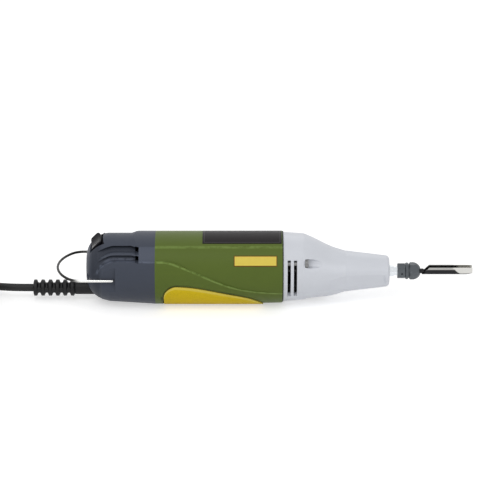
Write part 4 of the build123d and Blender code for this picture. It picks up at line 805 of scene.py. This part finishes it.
@dataclass
class MainsLead:
    """The lead: its sheath on one smooth line through the coil, and the ribbed relief."""

    diameter: float = 5.4 * MM
    coil_middle: tuple[float, float] = (-199.0 * MM, -21.7 * MM)
    coil_radius: float = 36.9 * MM
    coil_pitch: float = 5.9 * MM
    coil_turns: float = 9.5
    layer_turns: float = 2.5
    points_a_turn: int = 12
    relief_rear: float = -128.2 * MM
    relief_length: float = 49.2 * MM
    rib_pitch: float = 5.1 * MM
    rib_width: float = 2.9 * MM
    rib_tip: float = 1.7 * MM
    rib_base: float = 4.2 * MM
    rib_radius: float = 5.65 * MM
    groove_radius: float = 3.6 * MM
    web_radius: float = 4.9 * MM
    sleeve_radius: float = 4.6 * MM
    bore_radius: float = 2.75 * MM
    rib_count: int = 6
    floor_gap: float = 0.1 * MM
    plug_thick: float = 13.7 * MM
    plug_side: float = 23.0 * MM
    ribs_front: float = -99.4 * MM

    @property
    def coil_low(self) -> float:
        """The height of the lowest turn's middle."""
        return self.diameter / 2 + self.floor_gap

    def coil_points(self) -> np.ndarray:
        """The coil's points: out and in by one pitch a turn, a layer up at each reversal.

        Returns:
            Points of shape (n, 3).
        """
        turns = np.arange(0, self.coil_turns + 1e-6, 1.0 / self.points_a_turn)
        layer = np.minimum(3, np.floor(turns / self.layer_turns))
        inside = turns - layer * self.layer_turns
        inside = np.where(layer % 2 == 1, self.layer_turns - inside, inside)
        radius = self.coil_radius - self.coil_pitch * inside
        height = np.full_like(turns, self.coil_low)
        for change in (1, 2, 3):
            middle = change * self.layer_turns
            height = height + self.coil_pitch * smooth(turns, middle - 0.25, middle + 0.25)
        angle = math.pi / 2 + 2 * math.pi * turns
        x, y = self.coil_middle
        return np.stack([x + radius * np.cos(angle), y + radius * np.sin(angle), height], axis=1)

    def route(self) -> np.ndarray:
        """The whole lead's control points, from the relief's end to the plug's neck."""
        x, y = self.coil_middle
        top = self.coil_low + 3 * self.coil_pitch
        end_radius = self.coil_radius - self.coil_pitch * (4 * self.layer_turns - self.coil_turns)
        plug_z = top + self.diameter / 2 + 0.3 * MM + self.plug_thick / 2
        plug_y = y + self.plug_side
        lead = [
            (self.relief_rear, 0, CORD_Z),
            (-0.1410, 0, CORD_Z),
            (-0.1520, 0.0034, 0.0073),
            (-0.1700, 0.0122, 0.0039),
            (-0.1820, y + self.coil_radius, self.coil_low),
            (x + self.diameter, y + self.coil_radius, self.coil_low),
        ]
        tail = [
            (x + self.diameter, y - end_radius, top),
            (x + 0.0233, y - end_radius, top),
            (x + 0.0382, y - 0.0231, top + 0.0035),
            (x + 0.0440, y - 0.0055, top + 0.0069),
            (x + 0.0382, y + 0.0122, plug_z - 0.0006),
            (x + 0.0233, plug_y, plug_z),
            (x + 0.0050, plug_y, plug_z),
        ]
        return np.concatenate([np.array(lead), self.coil_points(), np.array(tail)])

    def build_sheath(self) -> bpy.types.Object:
        """Lay the sheath as a smooth line through the route, with a round section.


        Returns:
            The sheath.
        """
        points = self.route()
        line = bpy.data.curves.new("mains_lead", "CURVE")
        line.dimensions = "3D"
        line.bevel_depth = self.diameter / 2
        line.bevel_resolution = 5
        line.use_fill_caps = True
        line.resolution_u = 6
        spline = line.splines.new("NURBS")
        spline.points.add(len(points) - 1)
        spline.points.foreach_set("co", np.column_stack([points, np.ones(len(points))]).ravel())
        spline.order_u = 3
        spline.use_endpoint_u = True
        spline.use_smooth = True
        sheath = bpy.data.objects.new("mains_lead", line)
        bpy.context.scene.collection.objects.link(sheath)
        line.materials.append(Palette.SHEATH.value.material())
        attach(sheath, Body.TOOL.value)
        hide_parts("cord_lead", "cord_coil", "cord_tail")
        return sheath

    def build_relief(self) -> bpy.types.Object:
        """Shape the relief: ribs along a sleeve, joined by webs that step up and down by turns.

        The outside is a radius over place along X and angle; the bore closes it from inside.
        """
        front = self.relief_rear + self.relief_length
        ribs_front = self.ribs_front
        ribbed = np.linspace(self.relief_rear, ribs_front, 174)
        plain = np.linspace(ribs_front, front, 12)[1:]
        along = np.concatenate([ribbed, plain])
        angle = np.linspace(0, 2 * math.pi, 96, endpoint=False)
        place, turn = np.meshgrid(along, angle, indexing="ij")
        radius = np.full_like(place, self.groove_radius)
        lift = np.sin(turn)
        last = self.rib_count - 1
        rib_rise = self.rib_radius - self.groove_radius
        web_rise = self.web_radius - self.groove_radius
        for rib in range(self.rib_count):
            middle = ribs_front - 0.4 * MM - rib * self.rib_pitch - self.rib_width / 2
            away = np.abs(place - middle)
            ring = smooth(-away, -self.rib_base / 2, -self.rib_tip / 2)
            radius = np.maximum(radius, self.groove_radius + ring * rib_rise)
            from_gap = np.abs(place - middle + self.rib_pitch / 2)
            between = (from_gap < self.rib_pitch / 2) & (rib < last)
            web = smooth(-np.abs(lift), -0.50, -0.34) * between
            radius = np.maximum(radius, self.groove_radius + web * web_rise)
        sleeve = smooth(place, ribs_front - 0.3 * MM, ribs_front + 0.1 * MM)
        radius = radius + sleeve * (self.sleeve_radius - radius)
        mouth = smooth(place, self.relief_rear + 0.6 * MM, self.relief_rear)
        radius = radius - mouth * 0.5 * MM
        outside = np.stack([place, -radius * np.cos(turn), CORD_Z + radius * np.sin(turn)], axis=2)
        ends = np.array([front, self.relief_rear])
        inner_x, inner_turn = np.meshgrid(ends, angle, indexing="ij")
        inside = np.stack(
            [
                inner_x,
                -self.bore_radius * np.cos(inner_turn),
                CORD_Z + self.bore_radius * np.sin(inner_turn),
            ],
            axis=2,
        )
        mesh = grid_mesh("lead_relief", np.concatenate([outside, inside]), True, True)
        relief = placed(mesh, Palette.RELIEF.value, Body.TOOL)
        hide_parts("strain_relief")
        return relief


# Rocker


@dataclass
class Rocker:
    """The switch's glossy rocker: rounded corners and edges, and a shallow valley across."""

    origin: tuple[float, float, float] = (-83.6 * MM, 0.0, AXIS_Z + 18.4 * MM)
    slope: float = 45.0
    half_length: float = 7.5 * MM
    half_width: float = 4.5 * MM
    end_height: float = 2.45 * MM
    middle_height: float = 1.1 * MM
    foot: float = -4.6 * MM
    edge_round: float = 0.9 * MM
    tilt: float = 7.0
    pivot_depth: float = 3.0 * MM

    def build(self) -> bpy.types.Object:
        """Stack rounded rectangles from the foot to the crown and close both ends.

        A ring is a superellipse of power 5; towards the crown it shrinks along a quarter
        circle, and the crown's height follows a shallow arc across the tool.
        """
        angle = np.linspace(0, 2 * math.pi, 128, endpoint=False)
        power = 2.0 / 5.0
        ring_x = np.sign(np.cos(angle)) * np.abs(np.cos(angle)) ** power
        ring_y = np.sign(np.sin(angle)) * np.abs(np.sin(angle)) ** power
        rings: list[np.ndarray] = []

        def add(width: float, length: float, level: float, crown: float) -> None:
            x = ring_x * width
            y = ring_y * length
            valley = self.middle_height + (self.end_height - self.middle_height) * (
                (y / self.half_length) ** 2
            )
            rings.append(np.stack([x, y, level + crown * valley], axis=1))

        narrow = 0.40
        add(0.02 * MM, 0.02 * MM, self.foot, 0)
        add(0.9 * self.half_width, narrow * self.half_length, self.foot, 0)
        add(0.97 * self.half_width, 0.88 * self.half_length, -1.5 * MM, 0)
        for share in np.linspace(0, 1, 9):
            turn = share * math.pi / 2
            inset = self.edge_round * (1 - math.cos(turn))
            drop = self.edge_round * (1 - math.sin(turn))
            add(self.half_width - inset, self.half_length - inset, -drop, 1)
        for share in np.linspace(0.9, 0.02, 14):
            width = (self.half_width - self.edge_round) * share
            length = (self.half_length - self.edge_round) * share
            add(width, length, 0, 1)
        local = np.stack(rings)
        turn = math.radians(self.slope)
        out = np.array([-math.sin(turn), 0, math.cos(turn)])
        up_slope = np.array([math.cos(turn), 0, math.sin(turn)])
        lean = math.radians(self.tilt)
        across = local[..., 1]
        height = local[..., 2] + self.pivot_depth
        # the tilt turns the rocker about the slope's line through its pivot
        turned_y = across * math.cos(lean) - height * math.sin(lean)
        turned_z = across * math.sin(lean) + height * math.cos(lean)
        points = (
            np.array(self.origin)
            + local[..., 0:1] * up_slope
            + turned_y[..., None] * np.array([0.0, 1.0, 0.0])
            + (turned_z[..., None] - self.pivot_depth) * out
        )
        mesh = grid_mesh("rocker", points, False, True)
        rocker = placed(mesh, Palette.GLOSS_BLACK.value, Body.SWITCH)
        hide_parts("switch_rocker")
        return rocker


@dataclass(frozen=True)
class VentShadeSheet:
    """A thin black sheet on the capacitor, between the cap's two vents: painted shade that darkens
    what is seen through them.
    """

    rear: float = -62.0 * MM
    front: float = -51.5 * MM
    half_thick: float = 0.6 * MM
    foot: float = AXIS_Z + 9.0 * MM
    top: float = AXIS_Z + 20.6 * MM

    def build(self) -> bpy.types.Object:
        """Make the wall as a closed box of six faces."""
        corners = [
            (x, y, z)
            for x in (self.rear, self.front)
            for y in (-self.half_thick, self.half_thick)
            for z in (self.foot, self.top)
        ]
        faces = [(0, 1, 3, 2), (4, 6, 7, 5), (0, 4, 5, 1), (2, 3, 7, 6), (0, 2, 6, 4), (1, 5, 7, 3)]
        mesh = bpy.data.meshes.new("vent_shade_sheet")
        mesh.from_pydata(corners, [], faces)
        return placed(mesh, Palette.BLACK.value, Body.TOOL)


# The finishes of every piece


class Palette(Enum):
    """The finishes of this tool."""

    OLIVE = BarrelShell("olive_shell", (91, 108, 44), 0.42, 0.16, mottle=0.10)
    SLATE = CapShell("slate_shell", (71, 76, 88), 0.42, 0.16, mottle=0.10)
    GRIP = GripRubber("yellow_grip", (228, 199, 24), 0.55, 0.18)
    NAMEPLATE = BorderedPlate(
        "yellow_plate",
        (234, 210, 92),
        0.38,
        0.18,
        middle=(25.05 * MM, 0.0, AXIS_Z),
    )
    RATING = BorderedPlate(
        "dark_plate",
        (36, 32, 34),
        0.38,
        0.10,
        border=(92, 90, 92),
        middle=(15.9 * MM, 0.0, AXIS_Z),
        half_length=27.0 * MM,
        half_width=10.5 * MM,
        tilt=90.0,
        line=0.25 * MM,
        inset=0.9 * MM,
    )
    ALLOY = CastAlloy("cast_alloy", (216, 219, 226), 0.34, 0.5, metal=0.15)
    SEAL = SheathRubber("dark_seal", (24, 24, 25), 0.65)
    SHEATH = SheathRubber("lead_sheath", (34, 34, 35), 0.50, 0.3)
    RELIEF = SheathRubber("relief_rubber", (20, 20, 22), 0.44, 0.3)
    GLOSS_BLACK = MouldedPlastic("gloss_black", (16, 14, 20), 0.26, 0.12, grain_depth=0.002 * MM)
    BLACK = MouldedPlastic("black_plastic", (30, 30, 32), 0.38, grain_depth=0.008 * MM)
    BAIL = BrightWire("bright_wire", (225, 225, 222), 0.16)
    SPINDLE = TurnedSteel("spindle_steel", (218, 222, 226), 0.22, wear=0.05)
    CHUCK = TurnedSteel("chuck_steel", (88, 92, 96), 0.30, metal=0.9)
    SCREW = TurnedSteel("screw_steel", (128, 128, 128), 0.34, wear=0.15)
    BLADE = GougeSteel("blade_steel", (44, 44, 46), 0.30)
    SHEETS = StackedSheets("laminated_steel", (120, 122, 126), 0.45)
    COPPER = WoundCopper("copper_winding", (184, 104, 60), 0.35)
    BRASS = TurnedSteel("brass_parts", (206, 172, 96), 0.30)
    CARBON = MouldedPlastic("carbon_block", (38, 38, 40), 0.62, grain_depth=0.02 * MM)
    # painted shade: the capacitor is dark so that what shows through the cap's vents reads as shade
    CASE = MouldedPlastic("capacitor_painted_shade", (46, 52, 66), 0.30, grain_depth=0.002 * MM)
    # painted shade: the bearing plate is dark so that the gear head's slots read as shade
    SHADE_PLATE = CastAlloy("painted_shade_casting", (52, 52, 54), 0.50)


DRESSES: dict[Palette, tuple[str, ...]] = {
    Palette.OLIVE: ("motor_housing",),
    Palette.SLATE: ("rear_cap",),
    Palette.GRIP: ("grip_insert_left", "grip_insert_right"),
    Palette.NAMEPLATE: ("nameplate",),
    Palette.RATING: ("rating_label",),
    Palette.ALLOY: ("gear_head",),
    Palette.SHADE_PLATE: ("front_bearing_plate",),
    Palette.SEAL: ("head_gasket", "buffer_washer"),
    Palette.SHEATH: ("inner_cord",),
    Palette.GLOSS_BLACK: ("switch_body",),
    Palette.BLACK: (
        "plug_body",
        "air_baffle",
        "brush_ring",
        "cooling_fan",
        "cord_clamp",
        "bearing_bridge",
    ),
    Palette.BAIL: ("hanging_bail", "plug_pins", "return_spring", "brush_springs"),
    Palette.SPINDLE: (
        "spindle",
        "guide_pin",
        "armature_shaft",
        "rear_bearing",
        "front_bearing",
        "cup_bearing",
    ),
    Palette.CHUCK: (
        "chuck_body",
        "collet_nut",
        "collet",
        "striker",
        "cam_ring",
        "drive_cup",
        "motor_pinion",
    ),
    Palette.SCREW: ("cap_screws", "head_screws", "clamp_screws"),
    Palette.BLADE: ("gouge_blade",),
    Palette.SHEETS: ("stator_core", "armature_core"),
    Palette.COPPER: ("field_coils", "armature_winding", "commutator"),
    Palette.BRASS: ("brush_holders", "rear_bush", "front_bush"),
    Palette.CARBON: ("carbon_brushes",),
    Palette.CASE: ("capacitor",),
}


def dress_solids(nodes: dict[str, bpy.types.Object]) -> None:
    """Give each solid named in the table its finish, and log the solids left without one.

    Args:
        nodes: The frame's pieces by name.
    """
    left = set(nodes)
    for finish, names in DRESSES.items():
        for name in names:
            mesh = nodes[name].data
            if mesh.materials:
                mesh.materials[0] = finish.value.material()
            else:
                mesh.materials.append(finish.value.material())
            left.discard(name)
        LOG.info("finish %s on %s", finish.name, ", ".join(names))
    LOG.info("solids without a finish of their own: %s", ", ".join(sorted(left)))


# Studio


@dataclass
class Studio:
    """A pale floor, soft lamps, a white surround and the camera."""

    aim: tuple[float, float, float] = (0.0145, 0.0077, 0.0409)
    distance: float = 1.800
    elevation: float = 25.0
    lens: float = 195.9
    ambient: float = 0.60
    floor_reach: float = 4.0
    floor_glow: float = 0.50
    lamp_aim: tuple[float, float, float] = (0.02, 0.0, 0.02)

    def build_camera(self) -> None:
        """Place the camera on a sphere round the aim and look at it."""
        camera = bpy.data.objects.new("camera", bpy.data.cameras.new("camera"))
        bpy.context.scene.collection.objects.link(camera)
        camera.data.lens = self.lens
        camera.data.sensor_width = 36.0
        turn = math.radians(self.elevation)
        offset = Vector((0, -math.cos(turn), math.sin(turn))) * self.distance
        camera.location = Vector(self.aim) + offset
        camera.rotation_euler = (-offset).to_track_quat("-Z", "Y").to_euler()
        camera.data.clip_start = 0.01
        bpy.context.scene.camera = camera

    def build_floor(self) -> None:
        """Lay a pale floor that looks white to the camera and keeps soft shadows."""
        mesh = bpy.data.meshes.new("floor")
        reach = self.floor_reach
        corners = [(-reach, -reach, 0), (reach, -reach, 0), (reach, reach, 0), (-reach, reach, 0)]
        mesh.from_pydata(corners, [], [(0, 1, 2, 3)])
        floor = bpy.data.objects.new("floor", mesh)
        bpy.context.scene.collection.objects.link(floor)
        graph = Graph(bpy.data.materials.new("pale_floor"))
        ray = graph.node("ShaderNodeLightPath")
        seen = graph.larger(ray, Signal(graph, ray.socket.node.outputs["Is Glossy Ray"]))
        matte = graph.node("ShaderNodeBsdfDiffuse", None, {"Color": (0.86, 0.86, 0.86, 1.0)})
        glow = graph.node(
            "ShaderNodeEmission", None, {"Color": (1, 1, 1, 1), "Strength": seen * self.floor_glow}
        )
        both = graph.node("ShaderNodeAddShader", None, {0: matte, 1: glow})
        graph.node("ShaderNodeOutputMaterial", None, {"Surface": both})
        mesh.materials.append(graph.owner)

    def build_lamp(self, name: str, place: Iterable[float], size: float, power: float) -> None:
        """Hang one soft square lamp that faces the tool."""
        lamp = bpy.data.lights.new(name, "AREA")
        lamp.size = size
        lamp.energy = power
        hung = bpy.data.objects.new(name, lamp)
        bpy.context.scene.collection.objects.link(hung)
        hung.location = Vector(place)
        gaze = Vector(self.lamp_aim) - hung.location
        hung.rotation_euler = gaze.to_track_quat("-Z", "Y").to_euler()

    def build_surround(self) -> None:
        """A world that is white where it is seen or mirrored, and gentler as a light."""
        world = bpy.data.worlds.new("surround")
        bpy.context.scene.world = world
        graph = Graph(world)
        ray = graph.node("ShaderNodeLightPath")
        through = Signal(graph, ray.socket.node.outputs["Is Transmission Ray"])
        mirrored = Signal(graph, ray.socket.node.outputs["Is Glossy Ray"])
        seen = graph.larger(graph.larger(ray, through), mirrored)
        strength = self.ambient + seen * (1.0 - self.ambient)
        surround = graph.node(
            "ShaderNodeBackground", None, {"Color": (1, 1, 1, 1), "Strength": strength}
        )
        graph.node("ShaderNodeOutputWorld", None, {"Surface": surround})

    def build(self) -> None:
        """Set up everything but the camera."""
        self.build_floor()
        self.build_surround()
        self.build_lamp("key_lamp", (-0.35, -0.55, 0.95), 0.6, 2.6)
        self.build_lamp("fill_lamp", (0.75, -0.75, 0.55), 0.7, 0.9)
        self.build_lamp("back_lamp", (0.1, 0.8, 0.7), 0.6, 0.45)
        settings = bpy.context.scene.view_settings
        settings.view_transform = "Standard"


def main() -> None:
    """Build the scene in order and log the pieces made here."""
    logging.basicConfig(level=logging.INFO, format="%(message)s")
    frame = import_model()
    nodes = frame["nodes"]
    studio = Studio()
    studio.build_camera()
    lead = MainsLead()
    LOG.info("piece %s", lead.build_sheath().name)
    LOG.info("piece %s", lead.build_relief().name)
    dress_solids(nodes)
    LOG.info("piece %s", Rocker().build().name)
    LOG.info("piece %s", VentShadeSheet().build().name)
    studio.build()


if __name__ == "__main__":
    main()
